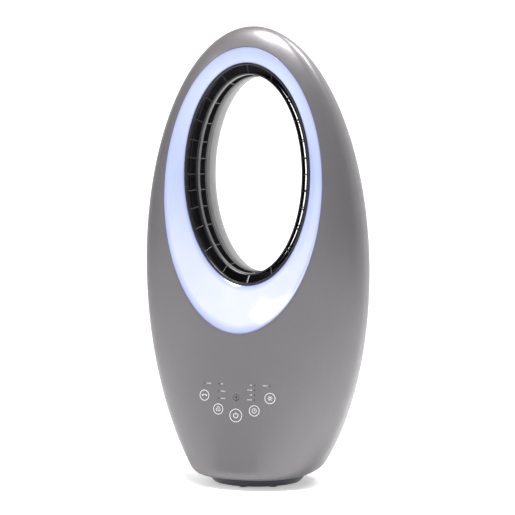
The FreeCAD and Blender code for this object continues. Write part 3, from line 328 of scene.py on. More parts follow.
# ---------------------------------------------------------------- mesh work
class Draft:
    """A mesh being put together from grids, strips and polygons."""

    def __init__(self) -> None:
        """Start with an empty mesh."""
        self.mesh = bmesh.new()

    def grid(self, points: np.ndarray, round_rows: bool = False, round_columns: bool = False,
             flip: bool = False) -> list[list[bmesh.types.BMVert]]:
        """Quads over a grid of points.

        Args:
            points: rows x columns x 3.
            round_rows: the last row joins the first.
            round_columns: the last column joins the first.
            flip: turn the faces round.

        Returns:
            The grid's vertices.
        """
        verts = [[self.mesh.verts.new(spot) for spot in row] for row in points]
        rows, columns = len(verts), len(verts[0])
        for i in range(rows if round_rows else rows - 1):
            for j in range(columns if round_columns else columns - 1):
                a, b = verts[i][j], verts[i][(j + 1) % columns]
                c, d = verts[(i + 1) % rows][(j + 1) % columns], verts[(i + 1) % rows][j]
                self.mesh.faces.new((d, c, b, a) if flip else (a, b, c, d))
        return verts

    def cap(self, verts: Sequence[bmesh.types.BMVert], flip: bool = False) -> None:
        """One polygon over a loop of vertices."""
        self.mesh.faces.new(list(reversed(verts)) if flip else list(verts))

    def fan(self, verts: Sequence[bmesh.types.BMVert], flip: bool = False) -> None:
        """Triangles from a loop of vertices to its middle.

        Args:
            verts: the loop, in order.
            flip: turn the faces round.
        """
        middle = self.mesh.verts.new(sum((v.co for v in verts), Vector()) / len(verts))
        for a, b in zip(verts, list(verts[1:]) + [verts[0]]):
            self.mesh.faces.new((middle, b, a) if flip else (middle, a, b))

    def weld(self, distance: float = 0.002 * MM) -> None:
        """Join vertices that lie on each other, and drop faces that have shrunk to nothing."""
        bmesh.ops.remove_doubles(self.mesh, verts=self.mesh.verts, dist=distance)
        bmesh.ops.dissolve_degenerate(self.mesh, edges=self.mesh.edges, dist=distance / 4)

    def wind(self) -> None:
        """Wind the faces of every closed shell outwards."""
        bmesh.ops.recalc_face_normals(self.mesh, faces=self.mesh.faces)

    def face_outwards(self, sample: Callable[[Vector], Vector]) -> None:
        """Wind all faces one way, outwards.

        Args:
            sample: gives a direction that points outwards at a face's middle.
        """
        self.wind()
        vote = sum(f.calc_area() * f.normal.dot(sample(f.calc_center_median())) for f in self.mesh.faces)
        if vote < 0:
            bmesh.ops.reverse_faces(self.mesh, faces=self.mesh.faces)

    def thicken(self, wall: float, rim: float) -> None:
        """Turn an open skin into a closed shell with rounded rims.

        Args:
            wall: the shell's thickness, inwards from the skin.
            rim: radius of the rounding that each free edge gets, added outside the skin's boundary.
        """
        mesh = self.mesh
        mesh.normal_update()
        skin_faces = list(mesh.faces)
        skin_verts = list(mesh.verts)
        normals = {v: v.normal.copy() for v in skin_verts}
        free = []
        outward: dict = defaultdict(Vector)
        for face in skin_faces:
            for loop in face.loops:
                if loop.edge.is_boundary:
                    a, b = loop.vert, loop.link_loop_next.vert
                    push = (b.co - a.co).normalized().cross(face.normal)
                    outward[a] += push
                    outward[b] += push
                    free.append((a, b))
        inner = {v: mesh.verts.new(v.co - normals[v] * wall) for v in skin_verts}
        for face in skin_faces:
            mesh.faces.new([inner[v] for v in reversed(face.verts)])
        ribbons = {}
        for v, push in outward.items():
            n = normals[v]
            d = (push - n * push.dot(n)).normalized()
            heart = v.co - n * rim
            arc = [heart + (d * math.sin(t) + n * math.cos(t)) * rim
                   for t in ROUNDING_ANGLES]
            low = v.co + d * rim - n * (wall - rim / 2)
            ribbons[v] = [v] + [mesh.verts.new(spot) for spot in arc + [low]] + [inner[v]]
        for a, b in free:
            for k in range(len(ribbons[a]) - 1):
                mesh.faces.new((ribbons[b][k], ribbons[a][k], ribbons[a][k + 1], ribbons[b][k + 1]))

    def punch(self, form: EggForm, facing: Facing, holes: Sequence[tuple[float, float, float]],
              clear: float) -> None:
        """Round holes through a skin, with the mesh round them filled in afresh.

        Args:
            form: the surface that the skin follows.
            facing: the side of the body.
            holes: x, height and radius of each hole.
            clear: how far round the holes the old faces go.
        """
        mesh = self.mesh
        mesh.normal_update()
        sign = -1.0 if facing is Facing.FRONT else 1.0

        def doomed(face: bmesh.types.BMFace) -> bool:
            """Whether the face is near one of the holes.

            Args:
                face: a face of the skin.

            Returns:
                True if the face has to go.
            """
            spot = face.calc_center_median()
            return spot.y * sign > 0 and any(
                math.hypot(spot.x - x, spot.z - z) < radius + clear for x, z, radius in holes)

        before = {e for e in mesh.edges if e.is_boundary}
        bmesh.ops.delete(mesh, geom=[f for f in mesh.faces if doomed(f)], context="FACES")
        edges = [e for e in mesh.edges if e.is_valid and e.is_boundary and e not in before]
        for x, z, radius in holes:
            count = SMALL_HOLE_SIDES if radius < SMALL_HOLE else LARGE_HOLE_SIDES
            ring = [mesh.verts.new(form.on(x + radius * math.cos(2 * math.pi * k / count),
                                           z + radius * math.sin(2 * math.pi * k / count), 0, facing))
                    for k in range(count)]
            edges += [mesh.edges.new((ring[k], ring[(k + 1) % count])) for k in range(count)]
        bmesh.ops.triangle_fill(mesh, use_beauty=True, use_dissolve=False, edges=edges,
                                normal=Vector((0, sign, 0)))

    def piece(self, name: str, sharp_degrees: float = 40.0) -> bpy.types.Object:
        """The finished object.

        Args:
            name: the piece's name.
            sharp_degrees: edges that turn more than this stay crisp.

        Returns:
            The object, linked to the scene.
        """
        data = bpy.data.meshes.new(name)
        self.mesh.normal_update()
        self.mesh.to_mesh(data)
        self.mesh.free()
        data.shade_smooth()
        data.set_sharp_from_angle(angle=math.radians(sharp_degrees))
        thing = bpy.data.objects.new(name, data)
        bpy.context.scene.collection.objects.link(thing)
        return thing


def rounded(corners: Sequence[Point], radius: float | Sequence[float], steps: int = 4,
            closed: bool = True) -> list[Point]:
    """An outline with its corners rounded.

    Args:
        corners: the corners.
        radius: one radius, or one for each corner.
        steps: segments in each rounding.
        closed: whether the last corner joins the first.

    Returns:
        The finer outline.
    """
    count = len(corners)
    radii = [radius] * count if isinstance(radius, (int, float)) else list(radius)
    outline = []
    for k, here in enumerate(corners):
        if not closed and k in (0, count - 1):
            outline.append(here)
            continue
        spot = np.array(here, float)
        before = np.array(corners[k - 1], float) - spot
        after = np.array(corners[(k + 1) % count], float) - spot
        limit = 0.48 * min(np.linalg.norm(before), np.linalg.norm(after))
        reach = min(radii[k], limit)
        first = spot + before / np.linalg.norm(before) * reach
        last = spot + after / np.linalg.norm(after) * reach
        for step in range(steps + 1):
            t = step / steps
            outline.append(tuple((1 - t) ** 2 * first + 2 * t * (1 - t) * spot + t * t * last))
    return outline


def turned(name: str, outline: Sequence[Point], centre: Vector = Vector(), around: int = 128,
           axis: str = "Z") -> bpy.types.Object:
    """A turned piece from a closed outline of radius and height.

    Args:
        name: the piece's name.
        outline: radius and height along the axis, in order round the section.
        centre: a point on the axis.
        around: segments round the axis.
        axis: "Z" for upright or "Y" for lying front to back.

    Returns:
        The piece.
    """
    draft = Draft()
    rows = []
    for radius, height in outline:
        angles = whole_turn(around)
        flat = np.stack([radius * np.cos(angles), radius * np.sin(angles), np.full(around, height)], -1)
        rows.append(flat if axis == "Z" else flat[:, [0, 2, 1]])
    draft.grid(np.array(rows) + np.array(centre), round_rows=True, round_columns=True)
    draft.weld()
    draft.wind()
    return draft.piece(name, 38.0)


def oval_sweep(draft: Draft, outline: Sequence[Point], around: int = 256) -> None:
    """A closed section of inset and depth carried all the way round the opening.

    Args:
        draft: the mesh to add to.
        outline: inset and depth of each corner, in metres.
        around: segments round the opening.
    """
    angles = whole_turn(around)
    rows = np.array([RIM.spot(angles, inset, depth) for inset, depth in outline])
    draft.grid(rows, round_rows=True, round_columns=True)


def settle(thing: bpy.types.Object, body: Body, finish: bpy.types.Material,
           stands_for: Sequence[str] = ()) -> None:
    """Dress a piece and tie it to its body.

    Args:
        thing: the piece.
        body: the body it rides on.
        finish: its material.
        stands_for: the plain solids that it replaces.
    """
    thing.data.materials.append(finish)
    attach(thing, body.value)
    if stands_for:
        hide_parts(*stands_for)
    LOG.info("%s: %d faces on %s", thing.name, len(thing.data.polygons), body.value)


# ---------------------------------------------------------------- casing
def mirrored(draft: Draft, points: np.ndarray) -> None:
    """A grid on the +X side and its twin on the other side."""
    draft.grid(points)
    draft.grid(points * np.array([-1.0, 1.0, 1.0]), flip=True)


def eased(low: float, high: float, count: int, near_low: bool, near_high: bool) -> np.ndarray:
    """Numbers from low to high, crowded towards one or both ends, without the first one.

    Args:
        low: the number left out at the start.
        high: the last number.
        count: how many numbers.
        near_low: crowd them towards the start.
        near_high: crowd them towards the end.

    Returns:
        The numbers, rising.
    """
    t = np.linspace(0, 1, count + 1)[1:]
    if near_low and near_high:
        t = (1 - np.cos(math.pi * t)) / 2
    elif near_high:
        t = np.sin(math.pi / 2 * t)
    elif near_low:
        t = 1 - np.cos(math.pi / 2 * t)
    return low + (high - low) * t


@dataclass
class Casing:
    """The two halves of the body's shell, which meet at an upright plane behind the middle."""

    form: EggForm = FORM
    wall: float = 2.8 * MM
    rear_wall: float = 1.2 * MM
    rim: float = 0.35 * MM
    split: float = 0.030
    seam: float = 0.35 * MM
    floor_radius: float = 68.3 * MM
    crescent_slack: float = 0.15 * MM
    corner_rows: int = 8
    lower_rows: int = 56
    ridge_rows: int = 10
    ridge_zone: float = 0.12
    crown_rows: int = 16
    under_window_rows: int = 10
    middle_rows: int = 24
    crescent_steps: int = 145
    mouth_steps: int = 129
    window_steps: int = 65
    side_columns: int = 16
    front_columns: int = 48
    rear_columns: int = 52
    window_level: float = 0.118
    window_half_width: float = 0.058
    window_half_height: float = 0.068
    mouth_start: float = 7.2 * MM
    throat_inset: float = 14.0 * MM
    flare_rate: float = 4.5
    mouth_rounding: float = 2.0 * MM
    rosette_level: float = 0.1206
    rosette_radius: float = 4.0 * MM
    sound_hole: float = 0.7 * MM
    post_levels: tuple[float, ...] = (0.072, 0.215, 0.355, 0.462)
    post_edge_distance: float = 0.016
    post_head_room: float = 0.037
    socket_radius: float = 2.9 * MM
    socket_wall: float = 1.6 * MM
    socket_step: float = 1.5 * MM
    socket_sides: int = 32
    screw_hole: float = 1.7 * MM
    seat: float = 0.033
    punch_clear: float = 2.5 * MM
    sound_hole_count: int = 8
    middle_hole_share: float = 1.7
    back_of_split: float = 0.06
    lip_segments: int = 6
    trumpet_segments: int = 14
    mouth_reach: float = 0.084
    weld_distance: float = 0.004 * MM

    def floor_row(self, row: np.ndarray) -> np.ndarray:
        """The round hole in the body's floor, opposite each point of the floor's outline.

        Args:
            row: points of the floor's outline.

        Returns:
            Points on the hole's edge, at the same height.
        """
        reach = np.hypot(row[:, 0], row[:, 1])[:, None]
        flat = row.copy()
        flat[:, :2] *= (self.floor_radius + self.rim) / reach
        return flat

    def skin(self, climbs: np.ndarray,
             spans: Sequence[tuple[Facing, np.ndarray, np.ndarray, int]]) -> np.ndarray:
        """The +X half of a skin as a grid.

        Args:
            climbs: the rows' climbs.
            spans: stretches round the section: facing, first turn, last turn and segments.

        Returns:
            rows x columns x 3 points, with the floor hole's row first.
        """
        section = self.form.profile(climbs)[:, None, :]
        stretches = []
        for number, (facing, first, last, count) in enumerate(spans):
            share = np.linspace(0, 1, count + 1)[None, (1 if number else 0):]
            turn = first[:, None] + (last - first)[:, None] * share
            stretches.append(self.form.across(section, turn, facing))
        points = np.concatenate(stretches, 1)
        return np.concatenate([self.floor_row(points[0])[None], points], 0)

    def front(self) -> Draft:
        """Front half: open round the crescent, with the sound holes in its key panel.

        Returns:
            The closed mesh.
        """
        form, rim = self.form, self.rim
        wide = RIM.light_half_width + self.crescent_slack + rim
        tall = RIM.light_half_height + self.crescent_slack + rim
        angles = bottom_to_top(self.crescent_steps)
        hole_climbs = form.climb_at(RIM.light_level + tall * np.sin(angles))
        ridge = form.split_climb(self.split - rim)
        climbs = np.unique(np.concatenate([
            np.linspace(0, CORNER_CLIMB, self.corner_rows),
            eased(CORNER_CLIMB, hole_climbs[0], self.lower_rows, False, True)[:-1],
            hole_climbs,
            eased(ridge - self.ridge_zone, ridge, self.ridge_rows, False, True),
            eased(ridge, CROWN_CLIMB, self.crown_rows, True, False)]))
        drop = (form.profile(climbs)[:, 4] - RIM.light_level) / tall
        inner = wide * np.sqrt(np.maximum(1 - drop ** 2, 0))
        section = form.profile(climbs)
        turn_in = form.turn_at(inner / np.maximum(section[:, 0], 1e-6), Facing.FRONT)
        turn_split = form.split_turn(section, self.split - rim)
        turn_split[climbs >= ridge - 1e-9] = 1.0
        none = np.zeros(len(climbs))
        draft = Draft()
        mirrored(draft, self.skin(climbs, [(Facing.REAR, turn_split, none, self.side_columns),
                                           (Facing.FRONT, none, turn_in, self.front_columns)]))
        draft.weld()
        draft.face_outwards(self.front_outwards)
        turns = [math.radians(360 / self.sound_hole_count * n) for n in range(self.sound_hole_count)]
        holes = [(self.rosette_radius * math.cos(turn),
                  self.rosette_level + self.rosette_radius * math.sin(turn),
                  self.sound_hole + rim) for turn in turns]
        holes.append((0.0, self.rosette_level, self.middle_hole_share * self.sound_hole + rim))
        draft.punch(form, Facing.FRONT, holes, self.punch_clear)
        draft.face_outwards(self.front_outwards)
        draft.thicken(self.wall, rim)
        return draft

    def run_at(self, angle: np.ndarray) -> np.ndarray:
        """How far back along the mouth its trumpet meets the rear surface.

        Args:
            angle: angles round the mouth.

        Returns:
            Distances back from the throat.
        """

        def beyond(run: np.ndarray) -> np.ndarray:
            """How far the trumpet's wall stands behind the rear surface."""
            spot = self.mouth_spot(angle, run)
            return spot[..., 1] - self.form.y_at(spot[..., 0], spot[..., 2], Facing.REAR)

        return bisect(beyond, 0.0, self.mouth_reach, np.shape(angle))

    def mouth_spot(self, angle: np.ndarray, run: np.ndarray, grown: float = 0.0) -> np.ndarray:
        """A point on the mouth's trumpet, or outside it by the growth."""
        inset = self.throat_inset - self.flare_rate * run ** 2 - grown
        return RIM.spot(angle, inset, self.mouth_start + RIM.setback + run)

    def mouth(self) -> tuple[np.ndarray, np.ndarray]:
        """The trumpet-shaped mouth's +X half.

        Returns:
            Its stations from the rounded lip to the throat, and the lip's outer points on the skin.
        """
        angles = bottom_to_top(self.mouth_steps)
        run = self.run_at(angles)
        edge = self.mouth_spot(angles, run)
        lip = self.mouth_spot(angles, run, self.mouth_rounding)
        lip[:, 1] = self.form.y_at(lip[:, 0], lip[:, 2], Facing.REAR)
        lip[[0, -1], 0] = 0.0
        inner_run = run - self.mouth_rounding
        inner = self.mouth_spot(angles, inner_run)
        stations = [(1 - t) ** 2 * lip + 2 * t * (1 - t) * edge + t * t * inner
                    for t in np.linspace(0, 1, self.lip_segments + 1)]
        stations += [self.mouth_spot(angles, inner_run * (1 - t))
                     for t in np.linspace(0, 1, self.trumpet_segments + 1)[1:]]
        return np.array(stations), lip

    def post_places(self) -> list[Point]:
        """Where the screw sockets stand, on both sides.

        Returns:
            x and height of each socket.
        """
        places = []
        for level in self.post_levels:
            drop = (level - self.form.equator) / self.form.crown_height
            reach = self.form.half_width * math.sqrt(1 - drop ** 2) - self.post_edge_distance
            while float(self.form.y_at(reach, level, Facing.REAR)) < self.post_head_room:
                reach -= 1.0 * MM
            places += [(reach, level), (-reach, level)]
        return places

    def rear(self) -> Draft:
        """Rear half: mouth, intake window and screw sockets.

        Returns:
            The closed mesh.
        """
        form, rim = self.form, self.rim
        edge_plane = self.split + self.seam + rim
        stations, lip = self.mouth()
        angles = bottom_to_top(self.window_steps)
        window_levels = self.window_level + (self.window_half_height + rim) * np.sin(angles)
        window_climbs = form.climb_at(window_levels)
        lip_climbs = form.climb_at(lip[:, 2])
        ridge = form.split_climb(edge_plane)
        climbs = np.concatenate([
            np.linspace(0, CORNER_CLIMB, self.corner_rows),
            eased(CORNER_CLIMB, window_climbs[0], self.under_window_rows, False, True)[:-1],
            window_climbs,
            eased(window_climbs[-1], lip_climbs[0], self.middle_rows, True, True)[:-1],
            lip_climbs,
            eased(lip_climbs[-1], ridge, self.crown_rows, True, True)])
        inner = np.zeros(len(climbs))
        first = int(np.argmin(np.abs(climbs - window_climbs[0])))
        inner[first:first + len(angles)] = (self.window_half_width + rim) * np.cos(angles)
        first = int(np.argmin(np.abs(climbs - lip_climbs[0])))
        inner[first:first + len(lip)] = lip[:, 0]
        section = form.profile(climbs)
        turn_in = form.turn_at(inner / np.maximum(section[:, 0], 1e-6), Facing.REAR)
        turn_split = form.split_turn(section, edge_plane)
        turn_split[-1] = 1.0
        draft = Draft()
        mirrored(draft, self.skin(climbs, [(Facing.REAR, turn_split, turn_in, self.rear_columns)]))
        mirrored(draft, stations)
        draft.weld(self.weld_distance)
        draft.face_outwards(self.rear_outwards)
        for x, level in self.post_places():
            draft.punch(form, Facing.REAR, [(x, level, self.socket_radius + rim)], self.punch_clear)
        draft.face_outwards(self.rear_outwards)
        draft.thicken(self.rear_wall, rim)
        for x, level in self.post_places():
            self.socket(draft, x, level)
        return draft

    def rear_outwards(self, spot: Vector) -> Vector:
        """Backwards on the rear skin, and no say near the split and inside the mouth."""
        return Vector((0, 1, 0)) if spot.y > self.back_of_split else Vector()

    def front_outwards(self, spot: Vector) -> Vector:
        """Away from the body's middle, mostly sideways."""
        return Vector((spot.x, spot.y, 0.3 * (spot.z - 0.3)))

    def socket(self, draft: Draft, x: float, level: float) -> None:
        """The tube that a screw sinks into.

        Args:
            draft: the mesh to add to.
            x: the socket's distance from the centre line.
            level: the socket's height.
        """
        mouth_y = float(self.form.y_at(abs(x) + self.socket_radius, level, Facing.REAR)) - 1.0 * MM
        outer = self.socket_radius + self.socket_wall
        foot_y = self.split + self.seam
        turn = whole_turn(self.socket_sides)
        rows = []
        for radius, y in ((self.socket_radius, mouth_y), (outer, mouth_y - self.socket_step),
                          (outer, foot_y), (self.screw_hole, foot_y),
                          (self.screw_hole, self.seat), (self.socket_radius, self.seat)):
            rows.append(np.stack([x + radius * np.cos(turn), np.full(self.socket_sides, y),
                                  level + radius * np.sin(turn)], -1))
        draft.grid(np.array(rows), round_rows=True, round_columns=True, flip=True)

    def build(self, lacquer: bpy.types.Material, brighter_back_lacquer: bpy.types.Material) -> None:
        """Make both halves and dress them; the rear half gets a lighter copy of the body lacquer, which is
        painted light.
        """
        settle(self.front().piece("front_casing"), Body.TOWER, lacquer, ["front_shell"])
        settle(self.rear().piece("rear_casing"), Body.TOWER, brighter_back_lacquer, ["rear_shell"])


# ---------------------------------------------------------------- crescent
@dataclass
class Crescent:
    """The opal light cover between the casing and the opening's rim."""

    gap: float = 0.3 * MM
    wall: float = 2.2 * MM
    rim: float = 0.5 * MM
    bulge: float = 0.034
    around: int = 288
    across: int = 18

    def build(self, glow: bpy.types.Material) -> None:
        """Make the cover and dress it.

        Args:
            glow: the cover's material.
        """
        angles = whole_turn(self.around)
        wide = RIM.light_half_width - self.gap - self.rim
        tall = RIM.light_half_height - self.gap - self.rim
        x, z = wide * np.cos(angles), RIM.light_level + tall * np.sin(angles)
        outer = np.stack([x, FORM.y_at(x, z) + 0.1 * MM, z], -1)
        inner = RIM.spot(angles, -(RIM.rim_width + self.gap + self.rim), np.zeros(self.around))
        width = np.linalg.norm(outer - inner, axis=-1, keepdims=True)
        rows = []
        for t in np.linspace(0, 1, self.across):
            lift = np.array([0, -1.0, 0]) * width * self.bulge * math.sin(math.pi * t)
            rows.append(outer * (1 - t) + inner * t + lift)
        draft = Draft()
        draft.grid(np.array(rows), round_columns=True)
        draft.face_outwards(lambda spot: Vector((0, -1, 0)))
        draft.thicken(self.wall, self.rim)
        thing = draft.piece("light_crescent")
        share = thing.data.attributes.new("across", "FLOAT", "POINT")
        share.data.foreach_set("value", self.shares(thing))
        settle(thing, Body.TOWER, glow, ["light_ring"])

    def shares(self, thing: bpy.types.Object) -> np.ndarray:
        """How far each vertex is from the outer edge (0) to the inner edge (1).

        Args:
            thing: the cover.

        Returns:
            One share for each vertex.
        """
        spots = np.array([v.co for v in thing.data.vertices])
        inner_x = RIM.half_width + RIM.rim_width + self.gap
        inner_z = RIM.half_height + RIM.rim_width + self.gap
        outer_radius = np.hypot(spots[:, 0] / RIM.light_half_width,
                                (spots[:, 2] - RIM.light_level) / RIM.light_half_height)
        inner_radius = np.hypot(spots[:, 0] / inner_x, (spots[:, 2] - RIM.level) / inner_z)
        from_outer = np.maximum(1 - outer_radius, 0) * RIM.light_half_width
        from_inner = np.maximum(inner_radius - 1, 0) * inner_x
        return (from_outer / (from_outer + from_inner + 1e-9)).astype(np.float32)


# ---------------------------------------------------------------- ribbed outlet
def shrunk(outline: Sequence[Point], amount: float) -> list[Point]:
    """An outline moved inwards by an amount.

    Args:
        outline: the corners, in order.
        amount: how far inwards.

    Returns:
        The moved corners.
    """
    spots = np.array(outline, float)
    area = 0.5 * np.sum(spots[:, 0] * np.roll(spots[:, 1], -1) - np.roll(spots[:, 0], -1) * spots[:, 1])
    along = np.roll(spots, -1, 0) - np.roll(spots, 1, 0)
    along /= np.maximum(np.linalg.norm(along, axis=1, keepdims=True), 1e-12)
    inwards = np.stack([-along[:, 1], along[:, 0]], -1) * (1 if area > 0 else -1)
    return [tuple(spot) for spot in spots + inwards * amount]


@dataclass
class Outlet:
    """Black outlet: front rim and flange, bead ring, rear ring and the ribs across the slots."""

    rib_count: int = 24
    rib_width: float = 1.2 * MM
    keel_width: float = 3.2 * MM
    rib_edge: float = 0.25 * MM
    rim_section: tuple[Point, ...] = ((-2.4, 0), (0, 0), (0.9, 2.2), (-0.8, 2.2), (-0.8, 11),
                                      (-15.6, 11), (-15.6, 9), (-2.4, 9))
    bead_section: tuple[Point, ...] = ((9.6, 9.8), (10.6, 8.8), (12.4, 10.6), (12.6, 18.4),
                                       (11.4, 20), (9.6, 19))
    back_section: tuple[Point, ...] = ((11.9, 33), (13.6, 33), (13.6, 35.8), (11.9, 35.8))
    front_leg: tuple[Point, ...] = ((-1.6, 1.2), (0.3, 1.2), (10.4, 9.6), (10.4, 12.6),
                                    (9.0, 12.6), (-1.6, 4.4))
    rear_leg: tuple[Point, ...] = ((10.6, 17.0), (12.2, 17.0), (13.2, 34.2), (12.2, 34.2))

    def build(self, black: bpy.types.Material) -> None:
        """Make the outlet and dress it.

        Args:
            black: the outlet's material.
        """
        draft = Draft()
        for section, radius in ((self.rim_section, 0.7), (self.bead_section, 1.1), (self.back_section, 0.5)):
            outline = rounded(section, radius, 5)
            oval_sweep(draft, [(inset * MM, depth * MM) for inset, depth in outline], 320)
        for number in range(self.rib_count):
            polar = 2 * math.pi * number / self.rib_count
            turn = math.atan2(RIM.half_width * math.sin(polar), RIM.half_height * math.cos(polar))
            keel = number == 3 * self.rib_count // 4
            self.rib(draft, turn, self.front_leg, self.keel_width if keel else self.rib_width)
            self.rib(draft, turn, self.rear_leg, self.rib_width)
        draft.wind()
        settle(draft.piece("ribbed_outlet", 50), Body.TOWER, black, ["outlet_grille"])

    def rib(self, draft: Draft, turn: float, section: Sequence[Point], width: float) -> None:
        """A flat rib with softened edges, standing across the slots.

        Args:
            draft: the mesh to add to.
            turn: ellipse angle of the rib.
            section: inset and depth of its corners, in millimetres.
            width: its thickness, in metres.
        """
        outline = rounded([(inset * MM, depth * MM) for inset, depth in section], 0.6 * MM, 3)
        slim = shrunk(outline, self.rib_edge)
        half = width / 2
        across = np.array([-math.sin(turn), 0, math.cos(turn)])
        loops = []
        for offset, shape in ((-half, slim), (-half + self.rib_edge, outline),
                              (half - self.rib_edge, outline), (half, slim)):
            spots = np.array(shape)
            loops.append(RIM.spot(turn, spots[:, 0], spots[:, 1]) + across * offset)
        verts = draft.grid(np.array(loops), round_columns=True)
        draft.cap(verts[0], flip=True)
        draft.cap(verts[-1])


@dataclass
class Gutter:
    """The oval air channel's black wall, seen between the outlet's ribs and at the opening's back."""

    wall: float = 1.8
    depth: float = 47.0
    reach: float = 15.6
    throat: float = 14.0

    def build(self, black: bpy.types.Material) -> None:
        """Make the channel and dress it.

        Args:
            black: the channel's material.
        """
        wall, deep, reach, inset = self.wall, self.depth, self.reach, self.throat
        section = [(inset, 36.1), (inset - wall, 36.1), (inset - wall, deep - wall),
                   (-reach + wall, deep - wall), (-reach + wall, 11.2), (-reach, 11.2),
                   (-reach, deep), (inset, deep)]
        draft = Draft()
        outline = rounded(section, [0.4, 0.4, 1.5, 2.5, 0.4, 0.4, 3.0, 0.6], 5)
        oval_sweep(draft, [(s * MM, d * MM) for s, d in outline], 256)
        draft.wind()
        settle(draft.piece("air_gutter", 50), Body.TOWER, black, ["air_channel"])


# ---------------------------------------------------------------- key panel
def spots_on_front(outline: np.ndarray, lift: float) -> np.ndarray:
    """Points of x and height laid on the front surface and lifted along its normal.

    Args:
        outline: x and height, in metres.
        lift: how far off the surface.

    Returns:
        Points with a last axis of x, y, z.
    """
    step = 0.2 * MM
    x, z = outline[..., 0], outline[..., 1]
    here = FORM.y_at(x, z)
    slope_x = (FORM.y_at(x + step, z) - FORM.y_at(x - step, z)) / (2 * step)
    slope_z = (FORM.y_at(x, z + step) - here) / step
    normal = np.stack([slope_x, np.full_like(here, -1.0), slope_z], -1)
    normal /= np.linalg.norm(normal, axis=-1, keepdims=True)
    return np.stack([x, here, z], -1) + normal * lift


class Symbol(Enum):
    """What a touch key shows."""

    POWER = "power"
    SWING = "swing"
    SPEED = "speed"
    TIMER = "timer"
    LAMP = "lamp"


@dataclass(frozen=True)
class Arc:
    """Part of a circle in a symbol, in millimetres from the key's centre and degrees from +X."""

    x: float
    z: float
    radius: float
    first: float
    last: float
    points: int
    weight: float = 1.0
    closed: bool = False


@dataclass(frozen=True)
class Bar:
    """A straight line in a symbol, in millimetres from the key's centre."""

    first: Point
    last: Point
    weight: float = 1.0


def spoke(degrees: float, inner: float, outer: float) -> Bar:
    """A line that points away from the centre."""
    x, z = math.cos(math.radians(degrees)), math.sin(math.radians(degrees))
    return Bar((inner * x, inner * z), (outer * x, outer * z))


def circle(radius: float, points: int) -> Arc:
    """A whole circle round the centre, whose last point stops short of the first."""
    return Arc(0.0, 0.0, radius, 0.0, 360 * (1 - 1 / points), points, closed=True)


def petal(degrees: float, reach: float = 1.7, radius: float = 1.5) -> Arc:
    """One petal of a fan."""
    turn = math.radians(degrees)
    return Arc(reach * math.cos(turn), reach * math.sin(turn), radius, degrees - 150, degrees + 90, 22)


DRAWINGS: dict[Symbol, tuple[Arc | Bar, ...]] = {
    Symbol.POWER: (Arc(0, 0, 3.1, 125, 415, 40, 1.3), Bar((0, 0.6), (0, 4.2), 1.3)),
    Symbol.TIMER: (circle(2.9, 40), Bar((0, -0.2), (0, 1.9)), Bar((-0.2, 0), (1.4, 0))),
    Symbol.LAMP: (circle(1.3, 28), *(spoke(45 * n, 2.2, 3.4) for n in range(8))),
    Symbol.SPEED: tuple(petal(120 * n + 90) for n in range(3)),
    Symbol.SWING: (Arc(0, -2.6, 3.9, 35, 145, 26),
                   Bar((-3.3, -0.5), (-3.4, 1.3)), Bar((-3.3, -0.5), (-1.7, -0.9)),
                   Bar((3.3, -0.5), (3.4, 1.3)), Bar((3.3, -0.5), (1.7, -0.9))),
}


@dataclass(frozen=True)
class Key:
    """One touch key: its centre, its ring's radius and its symbol."""

    x: float
    level: float
    radius: float
    symbol: Symbol


